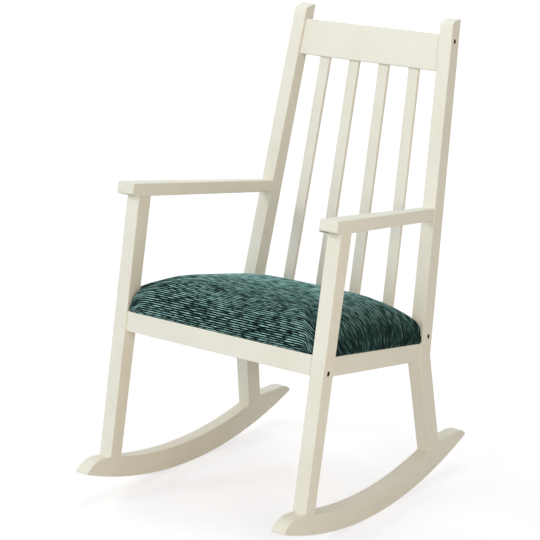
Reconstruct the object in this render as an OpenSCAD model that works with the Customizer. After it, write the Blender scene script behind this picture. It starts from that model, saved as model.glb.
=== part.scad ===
// A painted rocking chair with an upholstered seat, in millimetres.
// Every piece is drawn with the front legs upright. The whole chair is then rolled back
// on its rockers to the angle at which it rests, with the floor at z = 0.
// While it is drawn, y = 0 is the front face of the front legs and z = 0 is the lowest
// level of the rockers' curve. The sitter faces -y, and the sitter's left is +x.

/* [Chair] */
// Outer width across the rockers and the front legs
chair_w = 534; // [480:2:600]
// Angle that the chair leans back at rest, from its legs upright
rest_tip = 4.92; // [3:0.02:8]
// Width of the rockers, legs and posts, side to side
leg_t = 32; // [28:1:38]
// Clearance round pegs, screws and tenons in their holes
fit_gap = 0.1; // [0.05:0.05:0.3]

/* [Rockers] */
// Radius of the curve that the chair rolls on
rocker_r = 1213; // [1120:1:1400]
// Distance of the curve's middle behind the front legs' front faces
rocker_y = 228; // [200:1:250]
// Radius of the curve of a rocker's top
rocker_top_r = 1183; // [1090:1:1300]
// Distance of that curve's middle behind the front legs' front faces
rocker_top_y = 196; // [180:1:220]
// Height of a rocker's top at its lowest
rocker_h = 50; // [44:1:60]
// Length of a rocker in front of the front leg
nose_l = 79; // [70:1:92]
// Radius of the front end's rounded top
nose_r = 72; // [66:1:84]
// How far the rounded top would rise past the flat top, so that they meet at a faint corner
nose_rise = 0.3; // [0.2:0.1:0.6]
// Length of the flat top between the front leg and the rounded end
nose_flat = 26; // [16:1:34]
// Length of a rocker from its curve's middle to its rear end
tail_l = 528; // [500:1:570]
// Length of the rear end's sloping cut
tail_cut = 44; // [36:1:60]
// Thickness of a rocker at the top of that cut
tail_h = 35; // [28:1:38]
// Length of the steeper end of that cut
tail_round_l = 18; // [10:1:24]
// Thickness of a rocker where the cut grows steeper
tail_round_h = 21; // [14:1:26]
// Thickness of a rocker at its rear end
tail_tip_h = 4; // [3:0.5:10]

/* [Front legs and arms] */
// Depth of a front leg at its top, front to back
leg_d = 44; // [40:1:52]
// Depth of a front leg at its foot
leg_foot_d = 39; // [34:1:44]
// Height of the arms' underside at the leg's front
arm_z = 649; // [605:2:705]
// How much higher the arm is at the rear post
arm_rise = 3; // [0:0.5:8]
// Thickness of an arm
arm_t = 28; // [22:1:34]
// Width of an arm over the front leg
arm_front_w = 42.5; // [38:0.5:56]
// Width of an arm at the rear post
arm_rear_w = 27; // [25:0.5:31]
// How far an arm stands out past the outer face of the leg
arm_side = 6; // [3:0.5:9]
// How far an arm reaches in front of the leg
arm_nose = 30; // [20:1:45]
// Radius of the arm's lower front corner
arm_nose_r = 9; // [4:1:12]

/* [Rear posts] */
// Distance of the posts' front faces behind the leg fronts, at the bend
post_y = 474; // [440:1:510]
// Height of the bend in a post's front face
bend_z = 331; // [321:1:335]
// Depth of a post below the seat
post_d = 51; // [46:1:58]
// Depth of a post at its top
post_top_d = 39; // [36:1:44]
// Height of the top of a post
post_z = 1101.5; // [1050:0.5:1150]
// Angle at which a post's top rises to the rear
post_top_slope = 16; // [0:1:18]
// Radius that rounds the front of a post's top
post_top_r = 8; // [4:1:14]
// Radius that rounds the rear of a post's top
post_rear_r = 5; // [3:1:10]
// Angle that the back leans rearwards above the bend
back_lean = 2.4; // [0:0.1:6]
// Angle that the rear legs rake rearwards below the bend
rear_rake = 21.8; // [18:0.1:24]
// Angle that the posts lean in towards each other
post_lean_in = 3.45; // [2:0.05:4.5]

/* [Seat frame] */
// Height of the rails' top at the leg fronts
seat_z = 395.5; // [385:0.5:415]
// Angle that the seat slopes down to the rear, with the legs upright
seat_slope = 2.65; // [1.5:0.05:3.5]
// Height of the side rails
side_rail_h = 42; // [38:1:46]
// Thickness of the side rails
side_rail_t = 22; // [18:1:24]
// Setback of the side rails from the outer faces of the legs
side_rail_in = 2.5; // [1:0.5:5]
// Height of the front rail
front_rail_h = 44; // [40:1:50]
// Thickness of the front rail
front_rail_t = 32; // [28:1:34]
// Setback of the front rail from the front faces of the legs
front_rail_in = 4; // [2:0.5:7]
// Thickness of the corner blocks, bottom to top
block_h = 30; // [20:1:36]
// Length of a corner block along the front or rear rail
block_l = 62; // [50:1:80]

/* [Back] */
// Height of the crest rail
crest_h = 83; // [70:1:95]
// Thickness of the crest rail and the rear rail
crest_t = 24; // [22:1:27]
// Setback of the crest rail from the front faces of the posts
crest_in = 6; // [3:0.5:9]
// Height of the posts above the crest rail
crest_drop = 31.5; // [24:0.5:50]
// Height of the rear rail
rear_rail_h = 44; // [40:1:50]
// Setback of the rear rail from the front faces of the posts
rear_rail_in = 19; // [17:0.5:21]
// Height of the rear rail's lower edge above the bend
rear_rail_up = 25; // [15:1:35]
// Width of a slat
slat_w = 26; // [20:1:34]
// Thickness of a slat
slat_t = 11; // [8:0.5:12]
// Setback of the slats from the front face of the crest rail
slat_in = 11; // [7:0.5:12]
// Depth of the slats' tenons in the rails
tenon_l = 12; // [8:1:18]

/* [Seat] */
// Height of the cushion's crown above the rails
crown_h = 94; // [80:1:110]
// Height of the cushion's side walls
wall_h = 20; // [16:1:26]
// How far the side walls swell out past the rails
swell = 2; // [0:0.5:4]
// Thickness of the seat board
board_t = 12; // [9:1:15]
// Thickness of the cover's cloth
cover_t = 1.8; // [1.2:0.1:2.6]
// Width of the cover's hem under the board
hem_w = 18; // [12:1:20]
// Room between the cushion and the legs it is notched round
notch_gap = 1.5; // [1:0.5:4]

/* [Fastenings] */
// Diameter of the wooden pegs
peg_d = 8; // [6:0.5:9]
// Depth of a peg in a leg, post, rocker or arm
peg_leg_l = 16; // [12:1:18]
// Depth of a peg in a rail or in a leg's end
peg_rail_l = 22; // [16:1:26]
// Distance between two pegs side by side in a rail's end
peg_gap = 21; // [17:1:24]
// Diameter of a frame bolt's shank
bolt_d = 6; // [5:0.5:7]
// Length of a frame bolt under its head
bolt_l = 58; // [54:1:66]
// Diameter of a bolt's head
bolt_head_d = 10; // [9:0.5:12]
// Thickness of a bolt's head
bolt_head_h = 4; // [3:0.5:5]
// Depth of a bolt's head below the face of the leg
bolt_sink = 4; // [2:0.5:6]
// Clearance round a bolt's head in its sunk mouth
mouth_gap = 0.5; // [0.3:0.1:1]
// Clearance round a bolt's or a screw's shank in the hole it passes through
shank_gap = 0.2; // [0.1:0.05:0.5]
// Diameter of a cross nut
nut_d = 10; // [9:0.5:12]
// Length of a cross nut
nut_l = 13; // [11:0.5:15]
// Distance of a cross nut from its rail's end
nut_in = 25; // [20:1:30]
// Height of the front bolts above the front rail's lower edge
front_bolt_up = 9; // [8:0.5:12]
// Depth of the rear bolts below the rear rail's upper edge
rear_bolt_down = 12; // [9:0.5:14]
// Depth of the top bolts below the crest rail's upper edge
crest_bolt_down = 13; // [9:0.5:20]
// Diameter of a seat screw's shank
screw_d = 4.4; // [3.5:0.1:5]
// Depth of a seat screw in the seat board
screw_bite = 9; // [6:0.5:9]
// Diameter of a seat screw's head
screw_head_d = 9; // [8:0.5:11]
// Thickness of a seat screw's head
screw_head_h = 2.6; // [2:0.1:3.5]

/* [Hidden] */

paint = "#E9E5D9";
bare_wood = "#C9AE85";
bronze = "#4A3A30";
steel = "#B8BABD";
green_cloth = "#1F4F4F";
foam_tint = "#E8E2C8";

// Number of slats, one for each slat node above
slat_count = 4;
// Facets of round holes, of pegs and of the long curves
round_fn = 48;
curve_fn = 720;
// Overrun of every cut past the face it leaves
over = 1;
// Room left at the bottom of a blind hole
end_gap = 0.5;
// Room between two separate pieces that lie side by side
side_gap = 0.3;

leg_out = chair_w / 2;
leg_in = leg_out - leg_t;
nose_top = top_z(0);
// Rear face of a front leg at a height
function leg_back(z) = leg_foot_d + (leg_d - leg_foot_d) * (z - nose_top) / (arm_z - nose_top);
lean_out = tan(post_lean_in);
// Height at which a post stands over the rocker's full width
foot_z = top_z(post_y + tan(rear_rake) * (bend_z - 2 * rocker_h));

// Height at y of the rockers' rolling curve, and of their top
function low_z(y) = rocker_r - sqrt(rocker_r * rocker_r - pow(y - rocker_y, 2));
function top_z(y) = rocker_h + rocker_top_r - sqrt(rocker_top_r * rocker_top_r - pow(y - rocker_top_y, 2));
// Outer and inner face of the left post at a height
function post_out(z) = leg_out - lean_out * (z - foot_z);
function post_in(z) = post_out(z) - leg_t / cos(post_lean_in);
// Height of the rails' top plane at y, and the front face of a post at z
function seat_top(y) = seat_z - tan(seat_slope) * y;
function post_front(z) = z > bend_z
    ? post_y + tan(back_lean) * (z - bend_z)
    : post_y + tan(rear_rake) * (bend_z - z);
// A place measured square to the posts' front faces, as [y, z] of the chair
function back_at(y, z) = [
    post_y + y * cos(back_lean) + z * sin(back_lean),
    bend_z - y * sin(back_lean) + z * cos(back_lean)
];
// Where a point of the side view comes to when the chair has rolled back, from the contact line
function rolled_y(y, z) = (y - rocker_y) * cos(rest_tip) + (z - rocker_r) * sin(rest_tip);

nose_z = nose_top - nose_r + sqrt(nose_r * nose_r - pow(nose_l - nose_flat, 2));
tail_y = rocker_y + tail_l;
tail_z = low_z(tail_y) + tail_tip_h;
// The origin is under the middle of the chair's length
front_reach = rolled_y(-nose_l, min(nose_z, low_z(-nose_l)));
rear_reach = rolled_y(tail_y, tail_z);
origin_y = -(front_reach + rear_reach) / 2;

back_l = (post_z - bend_z) / cos(back_lean);
crest_top = back_l - crest_drop;
crest_low = crest_top - crest_h;
rear_rail_top = rear_rail_up + rear_rail_h;
crest_mid = crest_in + crest_t / 2;
rear_rail_mid = rear_rail_in + crest_t / 2;
// Length and lean of the slats between the two rails, square to the posts' front faces
slat_run = crest_low - rear_rail_top;
slat_top_mid = crest_in + slat_in + slat_t / 2;
slat_lean = atan((slat_top_mid - rear_rail_mid) / slat_run);

// Side rails run from the rear face of the leg to the front face of the post
rail_y0 = leg_back(seat_z - side_rail_h / 2);
rail_mid_z = seat_top(post_y) - side_rail_h / 2;
rail_x0 = leg_out - side_rail_in;
rail_x1 = post_out(rail_mid_z) - side_rail_in;
rail_toe = atan((rail_x0 - rail_x1) / (post_y - rail_y0));
function rail_out(y) = rail_x0 - tan(rail_toe) * (y - rail_y0);

rail_l = (post_y - rail_y0) / cos(rail_toe) / cos(seat_slope);

front_rail_low = seat_z - front_rail_h;
front_rail_mid = front_rail_in + front_rail_t / 2;
// Height of a cross rail's peg over the edge that it is measured from, clear of the cross nut
peg_edge = 2 * nut_d + peg_d;
bolt_deep = bolt_sink + bolt_head_h;
// Each place is [y, z, outer face of the leg, angle of the cross nut]
front_bolt = [front_rail_mid, front_rail_low + front_bolt_up, leg_out, 0];
rear_bolt_at = back_at(rear_rail_mid, rear_rail_top - rear_bolt_down);
rear_bolt = [rear_bolt_at[0], rear_bolt_at[1], post_out(rear_bolt_at[1]), back_lean];
crest_bolt_at = back_at(crest_mid, crest_top - crest_bolt_down);
crest_bolt = [crest_bolt_at[0], crest_bolt_at[1], post_out(crest_bolt_at[1]), back_lean];
front_peg = [front_rail_mid, front_rail_low + peg_edge, leg_in];
rear_peg_at = back_at(rear_rail_mid, rear_rail_top - peg_edge);
rear_peg = [rear_peg_at[0], rear_peg_at[1], post_in(rear_peg_at[1])];
crest_peg_at = back_at(crest_mid, crest_low + peg_edge);
crest_peg = [crest_peg_at[0], crest_peg_at[1], post_in(crest_peg_at[1])];

arm_mid_z = arm_z + arm_rise + arm_t / 2;
arm_rear_mid = post_out(arm_mid_z) - leg_t / 2;
arm_rear_y = post_front(arm_mid_z);
arm_tilt = atan(arm_rise / arm_rear_y);
function arm_low(y) = arm_z + tan(arm_tilt) * y;

module placed()
    translate([0, origin_y, rocker_r])
        rotate([-rest_tip, 0, 0])
            translate([0, -rocker_y, -rocker_r])
                children();

// Draws the left piece, or its mirror image on the right
module on_side(left)
    mirror([left ? 0 : 1, 0, 0])
        children();

module on_both_sides() {
    on_side(true) children();
    on_side(false) children();
}

// Stands a side view, drawn as y and z, upright from x0 outwards by its thickness
module side_view(x0, thick)
    translate([x0, 0, 0])
        rotate([90, 0, 90])
            linear_extrude(thick)
                children();

// The leaning frame of the left post, whose inner face is x = 0
module in_post()
    translate([leg_out, 0, foot_z])
        rotate([0, -post_lean_in, 0])
            translate([-leg_t, 0, -foot_z])
                children();

// The frame of the back, square to the posts' front faces, from the bend up
module in_back()
    translate([0, post_y, bend_z])
        rotate([-back_lean, 0, 0])
            children();

// The frame of the seat, whose z = 0 is the top of the rails
module in_seat()
    translate([0, 0, seat_z])
        rotate([-seat_slope, 0, 0])
            children();

// The frame of a left side rail, along y from the leg's rear face
module in_rail()
    translate([rail_x0, rail_y0, seat_top(rail_y0)])
        rotate([-seat_slope, 0, rail_toe])
            translate([-side_rail_t, 0, -side_rail_h])
                children();

// Everything inside the rocker's upper curve, where the legs stand
module above_rockers()
    translate([0, rocker_top_y, rocker_h + rocker_top_r])
        rotate([0, 90, 0])
            cylinder(r = rocker_top_r, h = 2 * chair_w, center = true, $fn = curve_fn);

module below_seat()
    in_seat()
        translate([-chair_w, -chair_w, -chair_w])
            cube([2 * chair_w, 3 * chair_w, chair_w]);

// The space between the inner faces of the two posts
module between_posts()
    translate([0, 2 * post_y, 0])
        rotate([90, 0, 0])
            linear_extrude(2 * post_y)
                polygon([
                    [-post_in(0), 0],
                    [post_in(0), 0],
                    [post_in(post_z), post_z],
                    [-post_in(post_z), post_z]
                ]);

// A round rod along x from a face inwards, at [y, z]
module rod_x(at, from_x, length, d)
    translate([from_x - length, at[0], at[1]])
        rotate([0, 90, 0])
            cylinder(d = d, h = length, $fn = round_fn);

// A peg along z, half of it on each side of z = 0, or the hole for it
module peg(down, up, grow)
    translate([0, 0, -down - (grow > 0 ? end_gap : 0)])
        cylinder(d = peg_d + 2 * grow, h = down + up + (grow > 0 ? 2 * end_gap : 0), $fn = round_fn);

module front_foot_pegs(grow = 0)
    for (y = [leg_foot_d / 4, leg_foot_d * 3 / 4])
        translate([leg_out - leg_t / 2, y, top_z(y)])
            peg(peg_rail_l, peg_rail_l, grow);

rear_foot_y = post_front(foot_z) + post_d / 2;
module rear_foot_pegs(grow = 0)
    in_post()
        for (s = [-1, 1])
            translate([leg_t / 2, rear_foot_y + s * post_d / 4, top_z(rear_foot_y + s * post_d / 4)])
                rotate([rear_rake, 0, 0])
                    peg(peg_rail_l, peg_rail_l, grow);

module side_peg_pair()
    for (s = [-1, 1])
        translate([side_rail_t / 2, 0, side_rail_h / 2 + s * peg_gap / 2])
            rotate([-90, 0, 0])
                children();

module side_rail_peg_set(grow = 0)
    in_rail() {
        side_peg_pair()
            peg(peg_leg_l, peg_rail_l, grow);
        translate([0, rail_l, 0])
            side_peg_pair()
                peg(peg_rail_l, peg_leg_l, grow);
    }

module cross_rail_peg_set(grow = 0)
    for (at = [front_peg, rear_peg, crest_peg])
        translate([at[2], at[0], at[1]])
            rotate([0, 90, 0])
                peg(peg_rail_l, peg_leg_l, grow);

module arm_peg_set(grow = 0) {
    for (y = [leg_d / 4, leg_d * 3 / 4])
        translate([leg_out - leg_t / 2, y, arm_z])
            peg(peg_rail_l, peg_leg_l, grow);
    for (s = [-1, 1])
        translate([arm_rear_mid + s * arm_rear_w / 4, arm_rear_y, arm_mid_z])
            rotate([-90, 0, 0])
                peg(peg_rail_l, peg_leg_l, grow);
}

// The path of one frame bolt: a wide mouth for the head, then a hole for the shank
module bolt_path(at) {
    rod_x(at, at[2], bolt_deep + bolt_l + end_gap, bolt_d + 2 * shank_gap);
    rod_x(at, at[2] + leg_t, leg_t + bolt_deep, bolt_head_d + 2 * mouth_gap);
}

module frame_bolt(at)
    difference() {
        union() {
            rod_x(at, at[2] - bolt_deep, bolt_l, bolt_d);
            rod_x(at, at[2] - bolt_sink, bolt_head_h, bolt_head_d);
        }
        translate([at[2] - bolt_sink - bolt_head_h / 2, at[0], at[1]])
            rotate([0, 90, 0])
                cylinder(d = bolt_head_d / 2, h = bolt_head_h, $fn = 6);
    }

// A cross nut's seat, square to the rail's face and centred on the bolt
module at_nut(at)
    translate([at[2] - leg_t - nut_in, at[0], at[1]])
        rotate([-at[3], 0, 0])
            rotate([90, 0, 0])
                children();

module cross_nut(at)
    difference() {
        at_nut(at)
            cylinder(d = nut_d, h = nut_l, center = true, $fn = round_fn);
        rod_x(at, at[2], 2 * bolt_l, bolt_d + 2 * shank_gap);
    }

// The blind hole for a cross nut, from the rail's rear face
module nut_hole(at, rail_t)
    at_nut(at)
        translate([0, 0, -rail_t / 2 - over])
            cylinder(d = nut_d + 2 * fit_gap, h = rail_t / 2 + over + nut_l / 2 + fit_gap, $fn = round_fn);

module rocker_shape()
    difference() {
        intersection() {
            translate([rocker_y, rocker_r])
                circle(r = rocker_r, $fn = curve_fn);
            translate([-nose_l, 0])
                square([nose_l + tail_y, 2 * rocker_h + tail_l / 2]);
        }
        translate([rocker_top_y, rocker_h + rocker_top_r])
            circle(r = rocker_top_r, $fn = curve_fn);
        rocker_nose_cut();
        rocker_tail_cut();
    }

// What is cut away above the front end, leaving its flat and its rounded top
module rocker_nose_cut() {
    translate([-nose_l - over, nose_top])
        square([nose_l + over, 2 * rocker_h]);
    difference() {
        translate([-nose_l - over, 0])
            square([nose_l + over - nose_flat, nose_top + rocker_h]);
        translate([-nose_flat, nose_top - nose_r + nose_rise])
            circle(r = nose_r, $fn = round_fn * 2);
    }
}

tail_top_y = tail_y - tail_cut;
tail_round_y = tail_y - tail_round_l;
tail_root_y = post_front(foot_z) + post_d + fit_gap;
module rocker_tail_cut()
    polygon([
        [tail_root_y, top_z(tail_root_y) + over],
        [tail_top_y, low_z(tail_top_y) + tail_h],
        [tail_round_y, low_z(tail_round_y) + tail_round_h],
        [tail_y, tail_z],
        [tail_y + over, tail_z],
        [tail_y + over, tail_z + 2 * rocker_h],
        [tail_root_y, tail_z + 2 * rocker_h]
    ]);

module rocker(left)
    placed()
        color(paint)
            on_side(left)
                difference() {
                    side_view(leg_in, leg_t)
                        rocker_shape();
                    front_foot_pegs(fit_gap);
                    rear_foot_pegs(fit_gap);
                }

// A front leg seen from the side, and whatever lies up to some way in front of it
module leg_shape(ahead)
    polygon([
        [-ahead, 0],
        [leg_back(0), 0],
        [leg_back(arm_z), arm_low(leg_back(arm_z))],
        [-ahead, arm_low(-ahead)]
    ]);

module front_leg(left)
    placed()
        color(paint)
            on_side(left)
                difference() {
                    intersection() {
                        side_view(leg_in, leg_t)
                            leg_shape(0);
                        above_rockers();
                    }
                    front_foot_pegs(fit_gap);
                    side_rail_peg_set(fit_gap);
                    cross_rail_peg_set(fit_gap);
                    arm_peg_set(fit_gap);
                    bolt_path(front_bolt);
                }

// Points on an arc that rounds a corner of the side view, from one angle down to another
corner_steps = 6;
function corner(y, z, r, from_deg, to_deg) = [
    for (i = [0:corner_steps])
        let (a = from_deg + (to_deg - from_deg) * i / corner_steps)
            [y + r * cos(a), z + r * sin(a)]
];

post_rear_z = post_z + tan(post_top_slope) * (post_top_d - post_top_r);
function post_outline() = concat(
    [[post_front(0), 0], [post_y, bend_z]],
    corner(post_front(post_z) + post_top_r, post_z - post_top_r, post_top_r, 180, 90 + post_top_slope),
    corner(post_front(post_z) + post_top_d - post_rear_r, post_rear_z - post_rear_r, post_rear_r, 90 + post_top_slope, 0),
    [[post_y + post_d, bend_z + post_d * tan(rear_rake / 2) + post_d * tan(back_lean)]],
    [[post_front(0) + post_d, 0]]
);

module rear_post(left)
    placed()
        color(paint)
            on_side(left)
                difference() {
                    intersection() {
                        in_post()
                            side_view(0, leg_t)
                                polygon(post_outline());
                        above_rockers();
                    }
                    rear_foot_pegs(fit_gap);
                    side_rail_peg_set(fit_gap);
                    cross_rail_peg_set(fit_gap);
                    arm_peg_set(fit_gap);
                    bolt_path(rear_bolt);
                    bolt_path(crest_bolt);
                }

// Everything behind the front face of the left post, for the pieces that butt against it
module behind_post_front()
    in_post()
        side_view(-leg_t, 3 * leg_t)
            polygon([
                [post_front(0), 0],
                [post_y, bend_z],
                [post_front(post_z), post_z],
                [2 * post_y, post_z],
                [2 * post_y, 0]
            ]);

module side_rail(left)
    placed()
        color(paint)
            on_side(left)
                difference() {
                    in_rail()
                        translate([0, -leg_d / 2, 0])
                            cube([side_rail_t, rail_l + leg_d, side_rail_h]);
                    side_view(0, chair_w)
                        leg_shape(leg_d);
                    behind_post_front();
                    side_rail_peg_set(fit_gap);
                }

// An arm in plan, from its front end to past the post's front face
function arm_outline() = [
    [leg_out + arm_side - arm_front_w, -arm_nose],
    [leg_out + arm_side, -arm_nose],
    [arm_rear_mid + arm_rear_w / 2, arm_rear_y],
    [arm_rear_mid + arm_rear_w / 2, arm_rear_y + leg_d],
    [arm_rear_mid - arm_rear_w / 2, arm_rear_y + leg_d],
    [arm_rear_mid - arm_rear_w / 2, arm_rear_y]
];

module arm(left)
    placed()
        color(paint)
            on_side(left)
                difference() {
                    translate([0, 0, arm_z])
                        rotate([arm_tilt, 0, 0])
                            difference() {
                                linear_extrude(arm_t)
                                    polygon(arm_outline());
                                side_view(leg_in - arm_front_w, 2 * arm_front_w + leg_t)
                                    difference() {
                                        translate([-arm_nose - over, -over])
                                            square([arm_nose_r + over, arm_nose_r + over]);
                                        translate([arm_nose_r - arm_nose, arm_nose_r])
                                            circle(r = arm_nose_r, $fn = round_fn);
                                    }
                            }
                    behind_post_front();
                    arm_peg_set(fit_gap);
                }

module front_rail()
    placed()
        color(paint)
            difference() {
                intersection() {
                    translate([-leg_in, front_rail_in, front_rail_low])
                        cube([2 * leg_in, front_rail_t, 2 * front_rail_h]);
                    below_seat();
                }
                on_both_sides() {
                    cross_rail_peg_set(fit_gap);
                    bolt_path(front_bolt);
                    nut_hole(front_bolt, front_rail_t);
                }
            }

module rear_rail()
    placed()
        color(paint)
            difference() {
                intersection() {
                    in_back()
                        translate([-leg_out, rear_rail_in, rear_rail_up])
                            cube([chair_w, crest_t, rear_rail_h]);
                    between_posts();
                }
                on_both_sides() {
                    cross_rail_peg_set(fit_gap);
                    bolt_path(rear_bolt);
                    nut_hole(rear_bolt, crest_t);
                }
                slat_set(fit_gap);
            }

module crest_rail()
    placed()
        color(paint)
            difference() {
                intersection() {
                    in_back()
                        translate([-leg_out, crest_in, crest_low])
                            cube([chair_w, crest_t, crest_h]);
                    between_posts();
                }
                on_both_sides() {
                    cross_rail_peg_set(fit_gap);
                    bolt_path(crest_bolt);
                    nut_hole(crest_bolt, crest_t);
                }
                slat_set(fit_gap);
            }

// The slats share the width between the posts evenly, at the crest rail and at the rear rail
function slat_x(i, z) =
    let (w = post_in(z), gap = (2 * w - slat_count * slat_w) / (slat_count + 1))
        (i + 1) * gap + (i + 0.5) * slat_w - w;

crest_low_z = back_at(slat_top_mid, crest_low)[1];
rear_top_z = back_at(rear_rail_mid, rear_rail_top)[1];
module one_slat(i, grow = 0) {
    low_x = slat_x(i, rear_top_z);
    high_x = slat_x(i, crest_low_z);
    fan = atan((high_x - low_x) / slat_run);
    length = slat_run / cos(slat_lean) / cos(fan);
    deep = tenon_l + (grow > 0 ? end_gap : 0);
    in_back()
        translate([low_x, rear_rail_mid, rear_rail_top])
            rotate([-slat_lean, 0, 0])
                rotate([0, fan, 0])
                    translate([-slat_w / 2 - grow, -slat_t / 2 - grow, -deep])
                        cube([slat_w + 2 * grow, slat_t + 2 * grow, length + 2 * deep]);
}

module slat_set(grow)
    for (i = [0:slat_count - 1])
        one_slat(i, grow);

module slat(i)
    placed()
        color(paint)
            one_slat(i);

// A corner block in plan, in the seat's frame, against the front rail or the rear rail
module block_shape(front) {
    face_y = front ? front_rail_in + front_rail_t : seat_rear_y;
    turn = front ? 1 : -1;
    far_y = face_y + turn * block_l;
    side_x = rail_out(face_y) - side_rail_t - side_gap;
    far_x = rail_out(far_y) - side_rail_t - side_gap;
    polygon([
        [side_x - block_l, face_y + turn * side_gap],
        [side_x, face_y + turn * side_gap],
        [far_x, far_y],
        [far_x - side_rail_t, far_y],
        [side_x - block_l, face_y + turn * (side_rail_t + side_gap)]
    ]);
}

// Where a seat screw goes through its corner block, in the seat's frame
screw_shares = [0.58, 0.42];
function screw_at(front) =
    let (face_y = front ? front_rail_in + front_rail_t : seat_rear_y, turn = front ? 1 : -1)
        [
            rail_out(face_y) - side_rail_t - screw_shares[0] * block_l,
            face_y + turn * screw_shares[1] * block_l
        ];

// The rear rail's front face at the level of the seat's rails
seat_rear_y = back_at(rear_rail_in, 0)[0];

module corner_block(front, left)
    placed()
        color(bare_wood)
            on_side(left)
                difference() {
                    in_seat()
                        translate([0, 0, -block_h - cover_t])
                            linear_extrude(block_h)
                                block_shape(front);
                    translate([-side_gap, side_gap, 0])
                        side_view(leg_in, leg_t)
                            leg_shape(0);
                    translate([0, -over, 0])
                        cube([leg_in, over + front_rail_in + front_rail_t + side_gap, arm_z]);
                    in_post()
                        translate([-side_gap, 0, 0])
                            cube([leg_t, 2 * post_y, post_z]);
                    seat_screw_path(front);
                }

module seat_screw_path(front)
    in_seat()
        translate([screw_at(front)[0], screw_at(front)[1], -block_h - cover_t - over])
            cylinder(d = screw_d + 2 * shank_gap, h = block_h + 2 * over, $fn = round_fn);

module seat_screw(front, grow = 0)
    in_seat()
        translate([screw_at(front)[0], screw_at(front)[1], -block_h - cover_t]) {
            cylinder(
                d = screw_d + 2 * grow,
                h = block_h + 2 * cover_t + screw_bite + (grow > 0 ? end_gap : 0),
                $fn = round_fn
            );
            translate([0, 0, -screw_head_h])
                cylinder(d = screw_head_d, h = screw_head_h, $fn = round_fn);
        }

// The seat in plan, from the middle of its front edge round its left half.
// It follows the rails' outer faces and is notched round the legs and posts.
cushion_front = front_rail_in;
front_notch_x = leg_in - notch_gap - swell;
front_notch_y = leg_back(seat_z) + notch_gap + swell;
rear_notch_x = post_in(seat_z + crown_h) - notch_gap - swell;
rear_notch_y = post_y - 2 * notch_gap;
cushion_rear = seat_rear_y - 2 * notch_gap;
function seat_corners() = [
    [0, cushion_front],
    [front_notch_x, cushion_front],
    [front_notch_x, front_notch_y],
    [rail_out(front_notch_y), front_notch_y],
    [rail_out(rear_notch_y), rear_notch_y],
    [rear_notch_x, rear_notch_y],
    [rear_notch_x, cushion_rear],
    [0, cushion_rear]
];
// Steps along each stretch of that half
stretch_steps = [6, 1, 2, 7, 1, 1, 5];
function half_plan() = [
    for (e = [0:len(stretch_steps) - 1])
        for (s = [0:stretch_steps[e] - 1])
            let (a = seat_corners()[e], b = seat_corners()[e + 1])
                a + (b - a) * s / stretch_steps[e]
];
function seat_plan() =
    let (half = half_plan(), n = len(half))
        concat(
            half,
            [[0, cushion_rear]],
            [for (i = [1:n - 1]) [-half[n - i][0], half[n - i][1]]]
        );

seat_mid_y = (cushion_front + cushion_rear) / 2;
seat_half_l = (cushion_rear - cushion_front) / 2;
// Power of the soft outline that the notches fade into, and of the crown's section
soft_power = 5;
crown_power = 3;
crown_fall = 2.2;
// Share of the way in at which the notches have faded out
fade_share = 0.2;
crown_rings = 9;

// Distance from the seat's middle to the soft outline, in the direction of a plan point
function soft_reach(p) =
    let (
        d = p - [0, seat_mid_y],
        n = norm(d),
        a = rail_out(p[1])
    )
        1 / pow(
            pow(abs(d[0]) / n / a, soft_power) + pow(abs(d[1]) / n / seat_half_l, soft_power),
            1 / soft_power
        );

// A plan point drawn in to a share of its distance, with the notches fading out
function drawn_in(p, share, less) =
    let (
        d = p - [0, seat_mid_y],
        n = norm(d),
        w = max(0, (share - 1 + fade_share) / fade_share),
        reach = w * n + (1 - w) * min(soft_reach(p), n * (1 + fade_share))
    )
        [0, seat_mid_y] + d / n * max(0, share * reach - less);

function crown_z(share) =
    wall_h + (crown_h - wall_h) * pow(1 - pow(share, crown_power), 1 / crown_fall);

// How far out the side wall stands at a height, widest at half its height
function wall_share(z) = 1 + swell / leg_out * (1 - abs(2 * z / wall_h - 1));

// The seat's plan at a height, drawn in to a share of its distance and then by a distance
function ring(share, z, less) =
    [for (p = seat_plan()) let (q = drawn_in(p, share, less)) [q[0], q[1], z]];

// Rings of the crowned form from its foot up, drawn in all over by less
function cushion_rings(foot, less) = concat(
    [ring(wall_share(foot), foot, less)],
    foot < wall_h / 2 ? [ring(wall_share(wall_h / 2), wall_h / 2, less)] : [],
    [
        for (k = [0:crown_rings - 1])
            let (share = cos(90 * k / crown_rings))
                ring(share, crown_z(share) - less, less)
    ]
);

function on_axis(z) = [0, seat_mid_y, z];
function backwards(list) = [for (i = [len(list) - 1:-1:0]) list[i]];

// A closed skin from its first point, over rings of equally many points, to its last point.
// Each of its cells is two triangles, split so that the cut rises or falls from ring to ring.
module lofted(first, rings, last, rising) {
    n = len(rings[0]);
    m = len(rings);
    start = [for (i = [0:n - 1]) [i, (i + 1) % n, m * n]];
    sides = [
        for (k = [0:m - 2])
            for (i = [0:n - 1])
                let (a = k * n + i, b = k * n + (i + 1) % n, c = a + n, d = b + n)
                    each rising ? [[a, d, b], [a, c, d]] : [[a, c, b], [b, c, d]]
    ];
    end = [for (i = [0:n - 1]) [(m - 1) * n + i, m * n + 1, (m - 1) * n + (i + 1) % n]];
    polyhedron(
        points = concat([for (r = rings) each r], [first, last]),
        faces = concat(start, sides, end),
        convexity = 6
    );
}

board_z = cover_t + fit_gap;
module seat_board()
    placed()
        color(bare_wood)
            difference() {
                in_seat()
                    translate([0, 0, board_z])
                        linear_extrude(board_t)
                            polygon([for (p = seat_plan()) drawn_in(p, 1, cover_t + side_gap)]);
                on_both_sides()
                    for (front = [true, false])
                        seat_screw(front, fit_gap);
            }

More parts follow.
